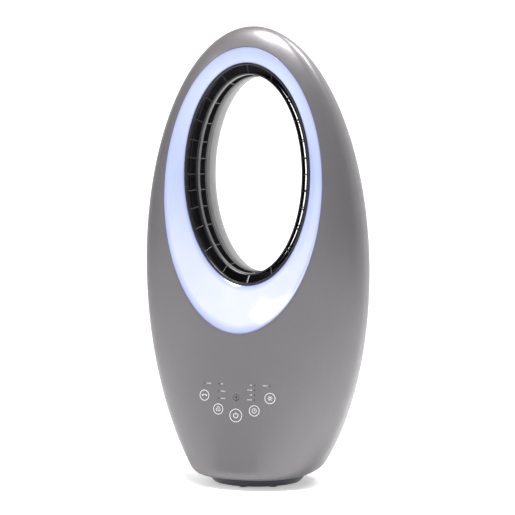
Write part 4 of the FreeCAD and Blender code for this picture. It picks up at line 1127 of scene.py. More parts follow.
@dataclass
class KeyPanel:
    """Printed touch keys, marks beside the lights, and the lights themselves."""

    inner_offset: float = 25.0
    outer_offset: float = 45.5
    power_level: float = 97.0
    inner_level: float = 104.0
    outer_level: float = 120.7
    power_radius: float = 8.25
    key_radius: float = 6.65
    line: float = 0.7
    fine_line: float = 0.6
    print_lift: float = 0.05 * MM
    print_root: float = -0.15 * MM
    light_radius: float = 0.9
    top_light: float = 136.7
    bottom_light: float = 118.0
    mark_offset: float = 4.0

    def keys(self) -> list[Key]:
        """The five keys.

        Returns:
            The keys, the power key first.
        """
        return [Key(0.0, self.power_level, self.power_radius, Symbol.POWER),
                Key(-self.inner_offset, self.inner_level, self.key_radius, Symbol.SPEED),
                Key(self.inner_offset, self.inner_level, self.key_radius, Symbol.TIMER),
                Key(-self.outer_offset, self.outer_level, self.key_radius, Symbol.SWING),
                Key(self.outer_offset, self.outer_level, self.key_radius, Symbol.LAMP)]

    def lights(self) -> list[Point]:
        """The indicator lights' centres.

        Returns:
            x and height of each light, in millimetres.
        """
        span = self.top_light - self.bottom_light
        spots = [(-self.outer_offset, self.top_light), (self.outer_offset, self.top_light)]
        spots += [(-self.inner_offset, self.top_light - step * span / 2) for step in range(3)]
        spots += [(self.inner_offset, self.top_light - step * span / 3) for step in range(4)]
        return spots

    def stroke(self, draft: Draft, path: Sequence[Point], width: float, closed: bool = False) -> None:
        """A printed line that follows the front surface.

        Args:
            draft: the mesh to add to.
            path: x and height of the line's points, in millimetres.
            width: the line's width, in millimetres.
            closed: whether the line joins its own start.
        """
        spots = np.array(path, float)
        if closed:
            along = np.roll(spots, -1, 0) - np.roll(spots, 1, 0)
        else:
            along = np.gradient(spots, axis=0)
        along /= np.linalg.norm(along, axis=1, keepdims=True)
        side = np.stack([-along[:, 1], along[:, 0]], -1) * width / 2
        left, right = (spots + side) * MM, (spots - side) * MM
        rows = [spots_on_front(left, self.print_root), spots_on_front(left, self.print_lift),
                spots_on_front(right, self.print_lift), spots_on_front(right, self.print_root)]
        verts = draft.grid(np.array(rows), round_rows=True, round_columns=closed)
        if not closed:
            draft.cap([row[0] for row in verts])
            draft.cap([row[-1] for row in verts], flip=True)

    def arc(self, x: float, z: float, radius: float, first: float, last: float,
            count: int = 24) -> list[Point]:
        """Points round part of a circle, angles in degrees from +X."""
        turns = np.radians(np.linspace(first, last, count))
        return [(x + radius * math.cos(t), z + radius * math.sin(t)) for t in turns]

    def ring(self, draft: Draft, x: float, z: float, radius: float, width: float, count: int = 72) -> None:
        """A printed circle."""
        self.stroke(draft, self.arc(x, z, radius, 0, 360 * (1 - 1 / count), count), width, closed=True)

    def line_between(self, draft: Draft, first: Point, last: Point, width: float) -> None:
        """A printed straight line."""
        ends = np.array([first, last], float)
        self.stroke(draft, [tuple(ends[0] * (1 - t) + ends[1] * t) for t in np.linspace(0, 1, 6)], width)

    def symbol(self, draft: Draft, key: Key) -> None:
        """The symbol inside one key's ring.

        Args:
            draft: the mesh to add to.
            key: the key.
        """
        for part in DRAWINGS[key.symbol]:
            width = self.fine_line * part.weight
            if isinstance(part, Bar):
                ends = [(key.x + x, key.level + z) for x, z in (part.first, part.last)]
                self.line_between(draft, *ends, width)
            else:
                path = self.arc(key.x + part.x, key.level + part.z, part.radius, part.first,
                                part.last, part.points)
                self.stroke(draft, path, width, part.closed)

    def marks(self, draft: Draft) -> None:
        """Short bars beside the lights: one more bar for each step of a column.

        Args:
            draft: the mesh to add to.
        """
        w = self.fine_line
        for x, z in self.lights():
            outer = abs(x) > (self.inner_offset + self.outer_offset) / 2
            hand = -1 if x > 0 else 1
            step = round((self.top_light - z) / 4)
            count = 4 if outer else 2 + step % 3
            for n in range(count):
                start = x + hand * (self.mark_offset + n * 1.7)
                self.line_between(draft, (start, z - 0.7), (start, z + 0.7), w)

    def lens(self, draft: Draft, x: float, z: float) -> None:
        """The domed tip of one light pipe.

        Args:
            draft: the mesh to add to.
            x: the light's x, in millimetres.
            z: the light's height, in millimetres.
        """
        rows = []
        for radius, lift in ((1.0, -0.3), (1.0, 0.04), (0.9, 0.14), (0.6, 0.24), (0.3, 0.29)):
            turns = whole_turn(20)
            outline = np.stack([x + self.light_radius * radius * np.cos(turns),
                                z + self.light_radius * radius * np.sin(turns)], -1) * MM
            rows.append(spots_on_front(outline, lift * MM))
        verts = draft.grid(np.array(rows), round_columns=True)
        draft.fan(verts[-1])
        draft.fan(verts[0], flip=True)

    def build(self, ink: bpy.types.Material, clear: bpy.types.Material) -> None:
        """Make the print and the lights and dress them.

        Args:
            ink: the print's material.
            clear: the lenses' material.
        """
        draft = Draft()
        for key in self.keys():
            self.ring(draft, key.x, key.level, key.radius, self.line)
            self.symbol(draft, key)
        self.marks(draft)
        draft.wind()
        settle(draft.piece("key_print", 30), Body.TOWER, ink)
        draft = Draft()
        for x, z in self.lights():
            self.lens(draft, x, z)
        draft.wind()
        settle(draft.piece("indicator_lenses", 60), Body.TOWER, clear, ["indicator_pipes"])


# ---------------------------------------------------------------- intake at the back
@dataclass
class Intake:
    """Curved oval intake panel with level slots."""

    level: float = 0.118
    half_width: float = 57.7 * MM
    half_height: float = 67.7 * MM
    frame_width: float = 5.5 * MM
    wall: float = 2.4 * MM
    rim: float = 0.4 * MM
    pitch: float = 6.0 * MM
    bar_height: float = 3.2 * MM
    bar_depth: float = 2.2 * MM
    spine_width: float = 4.0 * MM
    sink: float = 0.35 * MM

    def oval(self, inset: float, count: int = 192) -> np.ndarray:
        """Points of x and height round the panel, inside its edge by the inset.

        Args:
            inset: how far inside the edge.
            count: how many points.

        Returns:
            The points.
        """
        turns = whole_turn(count)
        return np.stack([(self.half_width - inset) * np.cos(turns),
                         self.level + (self.half_height - inset) * np.sin(turns)], -1)

    def bar(self, draft: Draft, path: np.ndarray, height: np.ndarray) -> None:
        """A bar with rounded edges that follows the rear surface.

        Args:
            draft: the mesh to add to.
            path: x and height along the bar's middle.
            height: direction across the bar, as x and height, half its width long.
        """
        rows = []
        soft = 0.6 * MM
        for across, depth in ((-1, self.bar_depth), (-1, soft), (-0.8, 0.12 * MM), (-0.4, 0.0),
                              (0.4, 0.0), (0.8, 0.12 * MM), (1, soft), (1, self.bar_depth)):
            spots = path + height * across
            y = FORM.y_at(spots[:, 0], spots[:, 1], Facing.REAR) - self.sink - depth
            rows.append(np.stack([spots[:, 0], y, spots[:, 1]], -1))
        verts = draft.grid(np.array(rows), round_rows=True)
        draft.cap([row[0] for row in verts])
        draft.cap([row[-1] for row in verts], flip=True)

    def build(self, black: bpy.types.Material) -> None:
        """Make the panel and dress it.

        Args:
            black: the panel's material.
        """
        draft = Draft()
        rows = []
        for inset in np.linspace(self.rim, self.frame_width, 5):
            spots = self.oval(inset)
            y = FORM.y_at(spots[:, 0], spots[:, 1], Facing.REAR)
            rows.append(np.stack([spots[:, 0], y, spots[:, 1]], -1))
        draft.grid(np.array(rows), round_columns=True)
        draft.face_outwards(lambda spot: Vector((0, 1, 0)))
        draft.thicken(self.wall, self.rim)
        reach_up = self.half_height - self.frame_width
        for row in range(-int(reach_up / self.pitch) - 1, int(reach_up / self.pitch) + 1):
            middle = (row + 0.5) * self.pitch
            if abs(middle) > reach_up:
                continue
            reach = (self.half_width - self.frame_width + 1.0 * MM) * math.sqrt(1 - (middle / reach_up) ** 2)
            x = np.linspace(-reach, reach, 28)
            path = np.stack([x, np.full(28, self.level + middle)], -1)
            self.bar(draft, path, np.array([0.0, self.bar_height / 2]))
        z = np.linspace(self.level - reach_up, self.level + reach_up, 40)
        self.bar(draft, np.stack([np.zeros(40), z], -1), np.array([self.spine_width / 2, 0.0]))
        draft.wind()
        settle(draft.piece("intake_panel", 45), Body.TOWER, black, ["intake_grille"])


# ---------------------------------------------------------------- swivel base
@dataclass
class SwivelBase:
    """The standing base: flared housing, rubber feet and the cord's sleeve."""

    foot_radius: float = 58.0
    top_radius: float = 67.0
    wall: float = 2.4
    low: float = 1.5
    top: float = 12.2
    post_hole: float = 9.08
    pad_radius: float = 6.0
    pad_height: float = 3.5
    pad_circle: float = 49.0
    pad_count: int = 8
    sleeve_radius: float = 3.8
    sleeve_bore: float = 2.6
    sleeve_end: float = 70.0
    sleeve_start: float = 50.0
    sleeve_level: float = 7.5
    sleeve_grooves: int = 3

    def build(self, black: bpy.types.Material, rubber: bpy.types.Material) -> None:
        """Make the base's pieces and dress them.

        Args:
            black: the housing's material.
            rubber: the feet's and sleeve's material.
        """
        ceiling, inside = self.top - self.wall, self.foot_radius - self.wall
        corners = [(self.post_hole, ceiling), (inside, ceiling), (inside, self.low),
                   (self.foot_radius, self.low), (self.top_radius, self.top), (self.post_hole, self.top)]
        outline = self.with_line(rounded(corners, [0.3, 1.5, 0.3, 1.2, 1.4, 0.3], 5))
        housing = turned("base_shell", [(r * MM, z * MM) for r, z in outline], around=192)
        settle(housing, Body.BASE, black, ["base_housing"])
        self.feet(rubber)
        self.sleeve(rubber)

    def with_line(self, outline: list[Point]) -> list[Point]:
        """The housing's outline with a fine groove part of the way up its flank.

        Args:
            outline: radius and height of the outline, in millimetres.

        Returns:
            The outline with the groove let in.
        """
        slope = np.array([self.top_radius - self.foot_radius, self.top - self.low])
        slope /= np.linalg.norm(slope)
        inwards = np.array([-slope[1], slope[0]])
        foot = np.array([self.foot_radius, self.low])
        groove = [tuple(foot + slope * run + inwards * sink)
                  for run, sink in ((3.2, 0.0), (3.5, 0.35), (4.1, 0.35), (4.4, 0.0))]
        place = max(k for k, (r, z) in enumerate(outline) if r > self.foot_radius - 1 and z < self.low + 2.4)
        return outline[:place + 1] + groove + outline[place + 1:]

    def feet(self, rubber: bpy.types.Material) -> None:
        """Soft pads with a rounded edge and a shallow dish underneath.

        Args:
            rubber: the feet's material.
        """
        corners = [(0.0, 0.5), (3.4, 0.5), (4.0, 0.0), (self.pad_radius, 0.0),
                   (self.pad_radius, self.pad_height), (0.0, self.pad_height)]
        outline = rounded(corners, [0.0001, 0.4, 0.3, 0.8, 0.4, 0.0001], 4)
        draft = Draft()
        for number in range(self.pad_count):
            angle = 2 * math.pi * number / self.pad_count
            x, y = self.pad_circle * math.cos(angle), self.pad_circle * math.sin(angle)
            turns = whole_turn(48)
            rows = [np.stack([x + max(r, 0) * np.cos(turns), y + max(r, 0) * np.sin(turns),
                              np.full(48, z)], -1) for r, z in outline]
            draft.grid(np.array(rows) * MM, round_columns=True)
        draft.weld()
        draft.wind()
        settle(draft.piece("foot_pads", 40), Body.BASE, rubber, ["rubber_feet"])

    def sleeve(self, rubber: bpy.types.Material) -> None:
        """The cord's rubber sleeve, ringed with grooves outside the housing.

        Args:
            rubber: the sleeve's material.
        """
        outline = [(self.sleeve_bore, self.sleeve_start), (self.sleeve_bore, self.sleeve_end),
                   (self.sleeve_radius - 0.5, self.sleeve_end), (self.sleeve_radius, self.sleeve_end - 0.6)]
        pitch = 2.0
        for number in range(self.sleeve_grooves):
            y = self.sleeve_end - 1.4 - number * pitch
            outline += [(self.sleeve_radius, y), (self.sleeve_radius - 0.6, y - 0.25),
                        (self.sleeve_radius - 0.6, y - 0.75), (self.sleeve_radius, y - 1.0)]
        outline.append((self.sleeve_radius, self.sleeve_start))
        centre = Vector((0, 0, self.sleeve_level * MM))
        thing = turned("cord_sleeve", [(r * MM, y * MM) for r, y in outline], centre, 48, "Y")
        settle(thing, Body.BASE, rubber, ["cord_gland"])


# ---------------------------------------------------------------- finishes
class Bench:
    """A material's node tree with short ways to add nodes."""

    def __init__(self, name: str) -> None:
        """Start a material with a Principled shader.

        Args:
            name: the material's name.
        """
        self.made = bpy.data.materials.new(name)
        self.made.use_nodes = True
        self.tree = self.made.node_tree
        self.tree.nodes.clear()
        self.shader = self.tree.nodes.new("ShaderNodeBsdfPrincipled")
        self.output = self.tree.nodes.new("ShaderNodeOutputMaterial")
        self.tree.links.new(self.shader.outputs["BSDF"], self.output.inputs["Surface"])
        self.coordinate = self.tree.nodes.new("ShaderNodeTexCoord")

    def set(self, **values: float | tuple) -> None:
        """Constants on the shader's own sockets, with underscores for spaces.

        Args:
            values: socket names and their constants.
        """
        for name, value in values.items():
            socket = self.shader.inputs[name.replace("_", " ")]
            socket.default_value = (*value, 1.0) if isinstance(value, tuple) and len(value) == 3 else value

    def node(self, kind: str, links: dict | None = None, **values: object) -> bpy.types.Node:
        """A node with its properties or socket values set and its inputs linked.

        Args:
            kind: Blender's name for the node.
            links: input names and the sockets that feed them.
            values: properties or input constants.

        Returns:
            The node.
        """
        made = self.tree.nodes.new(kind)
        for name, value in values.items():
            if hasattr(made, name):
                setattr(made, name, value)
            else:
                made.inputs[name.replace("_", " ")].default_value = value
        for name, socket in (links or {}).items():
            self.tree.links.new(socket, made.inputs[name])
        return made

    def noise(self, scale: float, detail: float = 3.0, roughness: float = 0.5,
              stretch: tuple[float, float, float] | None = None) -> bpy.types.NodeSocket:
        """Noise over the object's own space; the scale is in features per metre.

        Args:
            scale: features per metre.
            detail: how many finer layers.
            roughness: how strong the finer layers are.
            stretch: scale along each axis.

        Returns:
            The value, 0 to 1.
        """
        place = self.coordinate.outputs["Object"]
        if stretch is not None:
            place = self.node("ShaderNodeMapping", {"Vector": place}, Scale=stretch).outputs["Vector"]
        return self.node("ShaderNodeTexNoise", {"Vector": place}, Scale=scale, Detail=detail,
                         Roughness=roughness).outputs["Fac"]

    def cells(self, scale: float, feature: str = "F1", output: str = "Distance") -> bpy.types.NodeSocket:
        """A Voronoi pattern over the object's own space."""
        return self.node("ShaderNodeTexVoronoi", {"Vector": self.coordinate.outputs["Object"]},
                         feature=feature, Scale=scale).outputs[output]

    def spread(self, socket: bpy.types.NodeSocket, low: float, high: float,
               first: float = 0.3, last: float = 0.7) -> bpy.types.NodeSocket:
        """Map a value's useful range onto another range.

        Args:
            socket: the value.
            low: result at the first value.
            high: result at the last value.
            first: start of the useful range.
            last: end of the useful range.

        Returns:
            The mapped value.
        """
        made = self.node("ShaderNodeMapRange", {"Value": socket}, From_Min=first, From_Max=last,
                         To_Min=low, To_Max=high)
        return made.outputs["Result"]

    def ramp(self, socket: bpy.types.NodeSocket,
             stops: Sequence[tuple[float, Colour]]) -> bpy.types.NodeSocket:
        """Colours along a value.

        Args:
            socket: the value.
            stops: places along it and their colours.

        Returns:
            The colour.
        """
        made = self.node("ShaderNodeValToRGB", {"Fac": socket})
        row = made.color_ramp.elements
        while len(row) < len(stops):
            row.new(0.5)
        for element, (spot, colour) in zip(row, stops):
            element.position = spot
            element.color = (*colour, 1.0)
        return made.outputs["Color"]

    def mix(self, factor: bpy.types.NodeSocket, first: bpy.types.NodeSocket,
            second: bpy.types.NodeSocket | Colour) -> bpy.types.NodeSocket:
        """A colour between two colours.

        Args:
            factor: 0 for the first colour, 1 for the second.
            first: the first colour.
            second: the second colour, linked or plain.

        Returns:
            The mixed colour.
        """
        made = self.node("ShaderNodeMix", {"Factor": factor, "A": first}, data_type="RGBA")
        if isinstance(second, tuple):
            made.inputs["B"].default_value = (*second, 1.0)
        else:
            self.tree.links.new(second, made.inputs["B"])
        return made.outputs["Result"]

    def link(self, socket: bpy.types.NodeSocket, name: str) -> None:
        """Feed one of the shader's inputs."""
        self.tree.links.new(socket, self.shader.inputs[name])

    def relief(self, layers: Sequence[tuple[bpy.types.NodeSocket, float]]) -> None:
        """Fine relief from height layers, each with its depth in metres.

        Args:
            layers: height values and their depths.
        """
        normal = None
        for height, depth in layers:
            links = {"Height": height}
            if normal is not None:
                links["Normal"] = normal
            normal = self.node("ShaderNodeBump", links, Strength=1.0, Distance=depth).outputs["Normal"]
        self.link(normal, "Normal")


def shade(colour: Colour, factor: float) -> Colour:
    """A colour made lighter or darker."""
    return tuple(min(1.0, part * factor) for part in colour)


@dataclass(frozen=True)
class Moulded:
    """Injection-moulded plastic or rubber: slight colour drift, fine grain and uneven gloss."""

    name: str
    colour: Colour
    grain_scale: float = 1800.0
    grain_depth: float = 0.02 * MM
    gloss: tuple[float, float] = (0.38, 0.5)
    drift: float = 0.12
    coat: float = 0.0
    specular: float = 0.5
    wear: float = 0.0

    def material(self) -> bpy.types.Material:
        """The finish as a material.

        Returns:
            The material.
        """
        bench = Bench(self.name)
        cloud = bench.noise(14.0, 4.0, 0.6)
        colour = bench.ramp(cloud, [(0.3, shade(self.colour, 1 - self.drift)),
                                    (0.7, shade(self.colour, 1 + self.drift))])
        if self.wear > 0:
            edge = bench.node("ShaderNodeNewGeometry").outputs["Pointiness"]
            worn = bench.spread(edge, 0.0, self.wear, 0.52, 0.60)
            pale = bench.ramp(cloud, [(0.3, shade(self.colour, 3.0)), (0.7, shade(self.colour, 4.0))])
            colour = bench.mix(worn, colour, pale)
        bench.link(colour, "Base Color")
        grain = bench.noise(self.grain_scale, 5.0, 0.65)
        bench.link(bench.spread(bench.noise(55.0, 5.0, 0.6), *self.gloss), "Roughness")
        bench.set(Specular_IOR_Level=self.specular, Coat_Weight=self.coat, Coat_Roughness=0.08)
        bench.relief([(grain, self.grain_depth), (cloud, 0.15 * MM)])
        return bench.made


@dataclass(frozen=True)
class MetallicLacquer:
    """Grey lacquer with fine metal flakes under a glossy clear coat with a trace of orange peel."""

    name: str
    colour: Colour
    flake_colour: Colour
    metal: float = 0.45
    gloss: tuple[float, float] = (0.32, 0.40)
    coat: float = 0.22
    flake_scale: float = 5200.0
    flake_threshold: float = 0.72
    flake_share: float = 0.55
    edge_tint: Colour = (0.25, 0.25, 0.26)

    def material(self) -> bpy.types.Material:
        """The finish as a material.

        Returns:
            The material.
        """
        bench = Bench(self.name)
        flakes = bench.cells(self.flake_scale, "F1", "Color")
        cloud = bench.noise(9.0, 3.0, 0.5)
        base = bench.ramp(cloud, [(0.3, shade(self.colour, 0.97)), (0.7, shade(self.colour, 1.03))])
        lit = bench.ramp(flakes, [(0.0, BLACK), (self.flake_threshold, BLACK), (1.0, WHITE)])
        sparkle = bench.spread(lit, 0.0, self.flake_share, 0.0, 1.0)
        bench.link(bench.mix(sparkle, base, self.flake_colour), "Base Color")
        bench.link(bench.spread(bench.noise(40.0, 4.0, 0.6), *self.gloss), "Roughness")
        bench.set(Metallic=self.metal, Coat_Weight=self.coat, Coat_Roughness=0.06, Coat_IOR=1.4,
                  Specular_IOR_Level=0.25, Specular_Tint=self.edge_tint)
        peel = bench.noise(260.0, 2.0, 0.4)
        bench.relief([(bench.spread(flakes, 0.0, 1.0, 0.0, 1.0), 0.004 * MM), (peel, 0.012 * MM)])
        return bench.made


@dataclass(frozen=True)
class CrescentGlow:
    """Opal plastic lit from behind: whitest along its middle, blue towards its edges, with a darker blue band
    along both edges that is painted shade at the joins.
    """

    name: str = "crescent_glow"
    edge: Colour = (0.36, 0.44, 0.90)
    upper: Colour = (0.50, 0.60, 1.0)
    lower: Colour = (0.78, 0.82, 1.0)
    # Dark blue at both edges of the cover: painted shade along its joins with the casing and the outlet rim.
    rim: Colour = (0.10, 0.13, 0.42)
    body: Colour = (0.10, 0.105, 0.13)
    strength: float = 0.82
    low: float = 0.24
    high: float = 0.40

    def material(self) -> bpy.types.Material:
        """The finish as a material.

        Returns:
            The material.
        """
        bench = Bench(self.name)
        share = bench.node("ShaderNodeAttribute", attribute_name="across").outputs["Fac"]
        height = bench.node("ShaderNodeSeparateXYZ",
                            {"Vector": bench.coordinate.outputs["Object"]}).outputs["Z"]
        # Both ramps fall to the rim colour at the edges, which is painted shade at the joins.
        lower, upper = (bench.ramp(share, [(0.0, self.rim), (0.035, self.edge), (0.20, middle),
                                           (0.86, middle), (0.97, self.edge), (1.0, self.rim)])
                        for middle in (self.lower, self.upper))
        climb = bench.spread(height, 0.0, 1.0, self.low, self.high)
        bench.link(bench.mix(climb, lower, upper), "Emission Color")
        cloud = bench.noise(18.0, 3.0, 0.5)
        bench.link(bench.spread(cloud, self.strength * 0.97, self.strength * 1.03), "Emission Strength")
        bench.link(bench.ramp(cloud, [(0.3, self.body), (0.7, shade(self.body, 1.15))]), "Base Color")
        bench.link(bench.spread(bench.noise(70.0, 3.0, 0.5), 0.12, 0.18), "Roughness")
        bench.set(Coat_Weight=0.7, Coat_Roughness=0.04)
        bench.relief([(bench.noise(320.0, 2.0, 0.4), 0.01 * MM)])
        return bench.made


@dataclass(frozen=True)
class StageFinish:
    """The pale studio sweep."""

    name: str = "studio_paper"

    def material(self) -> bpy.types.Material:
        """The finish as a material.

        Returns:
            The material.
        """
        bench = Bench(self.name)
        paper = bench.noise(3.0, 2.0, 0.5)
        bench.link(bench.ramp(paper, [(0.3, (0.90, 0.90, 0.90)), (0.7, (0.92, 0.92, 0.92))]), "Base Color")
        bench.link(bench.ramp(paper, [(0.3, (0.97, 0.97, 0.97)), (0.7, (1.0, 1.0, 1.0))]), "Emission Color")
        bench.set(Roughness=0.9, Specular_IOR_Level=0.1, Emission_Strength=0.42)
        return bench.made


LACQUER = MetallicLacquer("body_lacquer", (0.122, 0.117, 0.123), (0.27, 0.26, 0.27))
# The rear half's lacquer is the body lacquer made lighter: painted light standing in for the light on its lip
# seen through the opening.
BRIGHTER_BACK_LACQUER = MetallicLacquer("back_lacquer_painted_lighter", (0.20, 0.192, 0.20), (0.40, 0.385, 0.40))
GLOW = CrescentGlow()
OUTLET_BLACK = Moulded("outlet_satin_black", (0.007, 0.007, 0.009), 2400.0, 0.01 * MM, (0.30, 0.40),
                       0.15, 0.1, 0.35, 0.2)
DUCT_BLACK = Moulded("duct_black", (0.014, 0.014, 0.017), 1500.0, 0.02 * MM, (0.35, 0.5))
BASE_BLACK = Moulded("base_blue_black", (0.016, 0.019, 0.030), 1600.0, 0.03 * MM, (0.3, 0.42), 0.15, 0.1)
INNER_GREY = Moulded("inner_grey", (0.27, 0.28, 0.29), 1400.0, 0.03 * MM)
WHITE_PLASTIC = Moulded("white_plastic", (0.70, 0.70, 0.68), 1400.0, 0.02 * MM, (0.4, 0.55), 0.04)
RUBBER = Moulded("black_rubber", (0.018, 0.018, 0.019), 900.0, 0.06 * MM, (0.62, 0.8), 0.15, 0.0, 0.3)
GEAR_PLASTIC = Moulded("gear_acetal", (0.62, 0.59, 0.48), 1500.0, 0.015 * MM, (0.3, 0.42), 0.05)
COMPONENT_BLACK = Moulded("component_black", (0.02, 0.02, 0.021), 1200.0, 0.03 * MM, (0.45, 0.6))
PRINT_INK = Moulded("print_ink", (0.62, 0.62, 0.64), 2600.0, 0.004 * MM, (0.45, 0.6), 0.05)
SMOKED_CLEAR = Moulded("smoked_clear", (0.006, 0.006, 0.008), 2000.0, 0.004 * MM, (0.25, 0.35), 0.06,
                       0.1, 0.3)


@dataclass(frozen=True)
class Metal:
    """Turned, cast or plated metal: fine directional scratches and patchy gloss."""

    name: str
    colour: Colour
    gloss: tuple[float, float]
    stretch: tuple[float, float, float] = (1.0, 1.0, 12.0)
    grain_depth: float = 0.01 * MM
    metallic: float = 1.0

    def material(self) -> bpy.types.Material:
        """The finish as a material.

        Returns:
            The material.
        """
        bench = Bench(self.name)
        cloud = bench.noise(30.0, 4.0, 0.6)
        bench.link(bench.ramp(cloud, [(0.3, shade(self.colour, 0.85)), (0.7, shade(self.colour, 1.1))]),
                   "Base Color")
        scratch = bench.noise(900.0, 5.0, 0.7, self.stretch)
        bench.link(bench.spread(scratch, *self.gloss), "Roughness")
        bench.set(Metallic=self.metallic)
        bench.relief([(scratch, self.grain_depth)])
        return bench.made


@dataclass(frozen=True)
class FilterFoam:
    """Open-cell dust filter foam, with painted shade in its pores."""

    name: str = "filter_foam"
    colour: Colour = (0.035, 0.036, 0.038)
    cell_scale: float = 700.0

    def material(self) -> bpy.types.Material:
        """The finish as a material.

        Returns:
            The material.
        """
        bench = Bench(self.name)
        cells = bench.cells(self.cell_scale)
        # Cell centres darker than the struts: painted shade in the pores.
        bench.link(bench.ramp(cells, [(0.1, shade(self.colour, 0.2)), (0.6, shade(self.colour, 1.8))]),
                   "Base Color")
        bench.link(bench.spread(cells, 0.8, 0.95, 0.1, 0.7), "Roughness")
        bench.relief([(cells, 0.4 * MM)])
        return bench.made


@dataclass(frozen=True)
class CircuitBoard:
    """Green solder mask with copper tracks showing through as raised lines."""

    name: str = "circuit_board"
    mask: Colour = (0.012, 0.10, 0.035)
    track: Colour = (0.03, 0.20, 0.07)

    def material(self) -> bpy.types.Material:
        """The finish as a material.

        Returns:
            The material.
        """
        bench = Bench(self.name)
        place = bench.coordinate.outputs["Object"]
        brick = bench.node("ShaderNodeTexBrick", {"Vector": place}, Scale=160.0, Mortar_Size=0.03)
        tracks = brick.outputs["Fac"]
        bench.link(bench.ramp(tracks, [(0.2, self.mask), (0.8, self.track)]), "Base Color")
        bench.link(bench.spread(bench.noise(80.0), 0.25, 0.4), "Roughness")
        bench.relief([(tracks, 0.03 * MM)])
        return bench.made


STEEL = Metal("zinc_steel", (0.55, 0.55, 0.56), (0.22, 0.42))
BALLAST = Metal("cast_ballast", (0.08, 0.08, 0.085), (0.5, 0.75), (1.0, 1.0, 1.0), 0.15 * MM, 0.8)
COPPER = Metal("plated_copper", (0.62, 0.33, 0.16), (0.2, 0.35))
DUST_FOAM = FilterFoam()
BOARD = CircuitBoard()

CARRIED_OVER: dict[str, tuple[object, tuple[str, ...]]] = {
    "base_black": (BASE_BLACK, ("base_cover", "turntable_plate")),
    "rubber": (RUBBER, ("motor_grommets",)),
    "ballast": (BALLAST, ("base_weight",)),
    "steel": (STEEL, ("pivot_post", "retaining_clip", "shell_screws", "motor_bracket", "motor_screws",
                      "motor_housing", "swing_motor", "swing_motor_screws", "motor_shaft", "impeller_nut")),
    "gear_plastic": (GEAR_PLASTIC, ("thrust_washer", "swing_gear", "swing_pinion")),
    "foam": (DUST_FOAM, ("dust_filter",)),
    "white_plastic": (WHITE_PLASTIC, ("light_reflector", "led_board", "board_spacers")),
    "diffuser": (GLOW, ("leds",)),
    "inner_grey": (INNER_GREY, ("air_neck", "blower_housing", "stator_vanes")),
    "component_black": (COMPONENT_BLACK, ("motor_end_cap", "buzzer", "remote_receiver", "power_parts")),
    "circuit_green": (BOARD, ("control_board", "power_board")),
    "copper": (COPPER, ("touch_pads",)),
    "outlet_black": (OUTLET_BLACK, ("impeller",)),
}


def dress_carried_over() -> None:
    """Give every piece that stays from the frame its own finish."""
    for slot, (finish, names) in CARRIED_OVER.items():
        made = finish.material()
        for name in names:
            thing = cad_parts[name]
            thing.data.materials.clear()
            thing.data.materials.append(made)
            thing.data.shade_smooth()
            thing.data.set_sharp_from_angle(angle=math.radians(30))
        LOG.info("%s on %d carried-over pieces", slot, len(names))


# ---------------------------------------------------------------- studio
@dataclass(frozen=True)
class SoftBox:
    """One soft light: where it hangs, what it points at, its width and height, and its power in watts."""

    name: str
    spot: Point3
    aim: Point3
    size: Point
    power: float
    colour: Colour


SOFT_BOXES = (
    SoftBox("key_box", (-2.0, -1.5, 1.5), (0, 0, 0.3), (0.9, 1.5), 18, (1.0, 0.99, 0.98)),
    SoftBox("top_box", (0.15, -0.35, 2.3), (-0.05, 0, 0.4), (1.3, 0.8), 110, (1.0, 0.99, 0.98)),
    SoftBox("back_strip", (0.9, 1.2, 2.2), (0, 0, 0.5), (0.8, 0.8), 40, (1.0, 1.0, 1.0)),
)


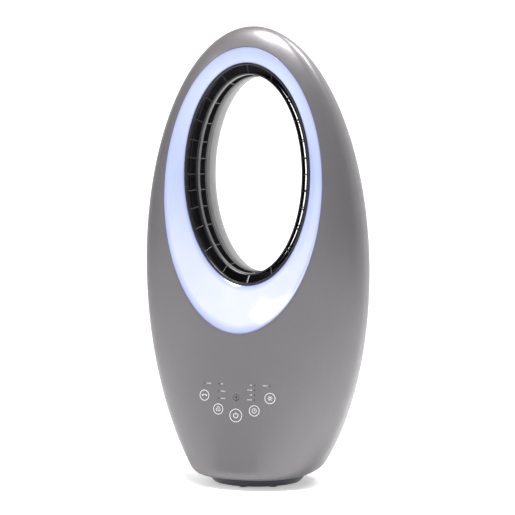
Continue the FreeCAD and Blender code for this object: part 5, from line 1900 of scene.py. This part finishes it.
@dataclass
class Studio:
    """Pale floor, soft lights and the camera."""

    target: Point3 = (0.0, 0.0, 0.300)
    azimuth: float = 21.1
    elevation: float = 3.3
    distance: float = 2.5
    focal_share: float = 0.757
    shift_x: float = 0.0006
    shift_y: float = -0.0047
    frame_pixels: int = 515
    sensor: float = 36.0
    bright_side: Point3 = (-0.50, -0.62, 0.60)
    room: tuple[float, float] = (0.0, 0.60)
    floor_front: float = -7.0
    floor_back: float = 3.5
    floor_side: float = 8.0
    wall_top: float = 6.0
    sweep_radius: float = 1.8
    sweep_segments: int = 14

    def camera(self) -> None:
        """A long lens, level with the body's middle and to its right."""
        data = bpy.data.cameras.new("studio_camera")
        focal_pixels = self.focal_share * self.distance * 1000
        data.sensor_width = self.sensor
        data.lens = focal_pixels / self.frame_pixels * self.sensor
        data.shift_x, data.shift_y = self.shift_x, self.shift_y
        data.clip_start, data.clip_end = 0.05, 50.0
        thing = bpy.data.objects.new("studio_camera", data)
        bpy.context.scene.collection.objects.link(thing)
        a, e = math.radians(self.azimuth), math.radians(self.elevation)
        back = Vector((math.sin(a) * math.cos(e), -math.cos(a) * math.cos(e), math.sin(e)))
        thing.location = Vector(self.target) + back * self.distance
        thing.rotation_euler = (-back).to_track_quat("-Z", "Y").to_euler()
        bpy.context.scene.camera = thing

    def light(self, box: SoftBox) -> None:
        """One soft box.

        Args:
            box: the light to hang.
        """
        data = bpy.data.lights.new(box.name, "AREA")
        data.shape = "RECTANGLE"
        data.size, data.size_y = box.size
        data.energy = box.power
        data.color = box.colour
        thing = bpy.data.objects.new(box.name, data)
        bpy.context.scene.collection.objects.link(thing)
        thing.location = box.spot
        thing.rotation_euler = (Vector(box.aim) - Vector(box.spot)).to_track_quat("-Z", "Y").to_euler()

    def surroundings(self) -> None:
        """A white room, brighter on the left and overhead than on the right."""
        world = bpy.data.worlds.new("studio_world")
        world.use_nodes = True
        tree = world.node_tree
        place = tree.nodes.new("ShaderNodeTexCoord")
        lean = tree.nodes.new("ShaderNodeVectorMath")
        lean.operation = "DOT_PRODUCT"
        lean.inputs[1].default_value = self.bright_side
        spread = tree.nodes.new("ShaderNodeMapRange")
        spread.inputs["From Min"].default_value, spread.inputs["From Max"].default_value = -1.0, 1.0
        spread.inputs["To Min"].default_value, spread.inputs["To Max"].default_value = self.room
        tree.links.new(place.outputs["Generated"], lean.inputs[0])
        tree.links.new(lean.outputs["Value"], spread.inputs["Value"])
        tree.links.new(spread.outputs["Result"], tree.nodes["Background"].inputs["Strength"])
        tree.nodes["Background"].inputs["Color"].default_value = (*WHITE, 1.0)
        bpy.context.scene.world = world
        bpy.context.scene.view_settings.view_transform = "Standard"

    def build(self) -> None:
        """Set up floor, world, lights and camera."""
        draft = Draft()
        outline = rounded([(self.floor_front, 0.0), (self.floor_back, 0.0), (self.floor_back, self.wall_top)],
                          self.sweep_radius, self.sweep_segments, closed=False)
        rows = [[(x, y, z) for x in (-self.floor_side, 0.0, self.floor_side)] for y, z in outline]
        draft.grid(np.array(rows, float))
        floor = draft.piece("studio_sweep", 60)
        floor.location.z = -0.2 * MM
        floor.data.materials.append(StageFinish().material())
        self.surroundings()
        for box in SOFT_BOXES:
            self.light(box)
        self.camera()


def main() -> None:
    """Build every sub-assembly, dress the carried-over pieces and set up the studio."""
    logging.basicConfig(level=logging.INFO, format="%(message)s")
    Casing().build(LACQUER.material(), BRIGHTER_BACK_LACQUER.material())
    Crescent().build(GLOW.material())
    Outlet().build(OUTLET_BLACK.material())
    Gutter().build(DUCT_BLACK.material())
    KeyPanel().build(PRINT_INK.material(), SMOKED_CLEAR.material())
    Intake().build(OUTLET_BLACK.material())
    SwivelBase().build(BASE_BLACK.material(), RUBBER.material())
    dress_carried_over()
    Studio().build()


if __name__ == "__main__":
    main()
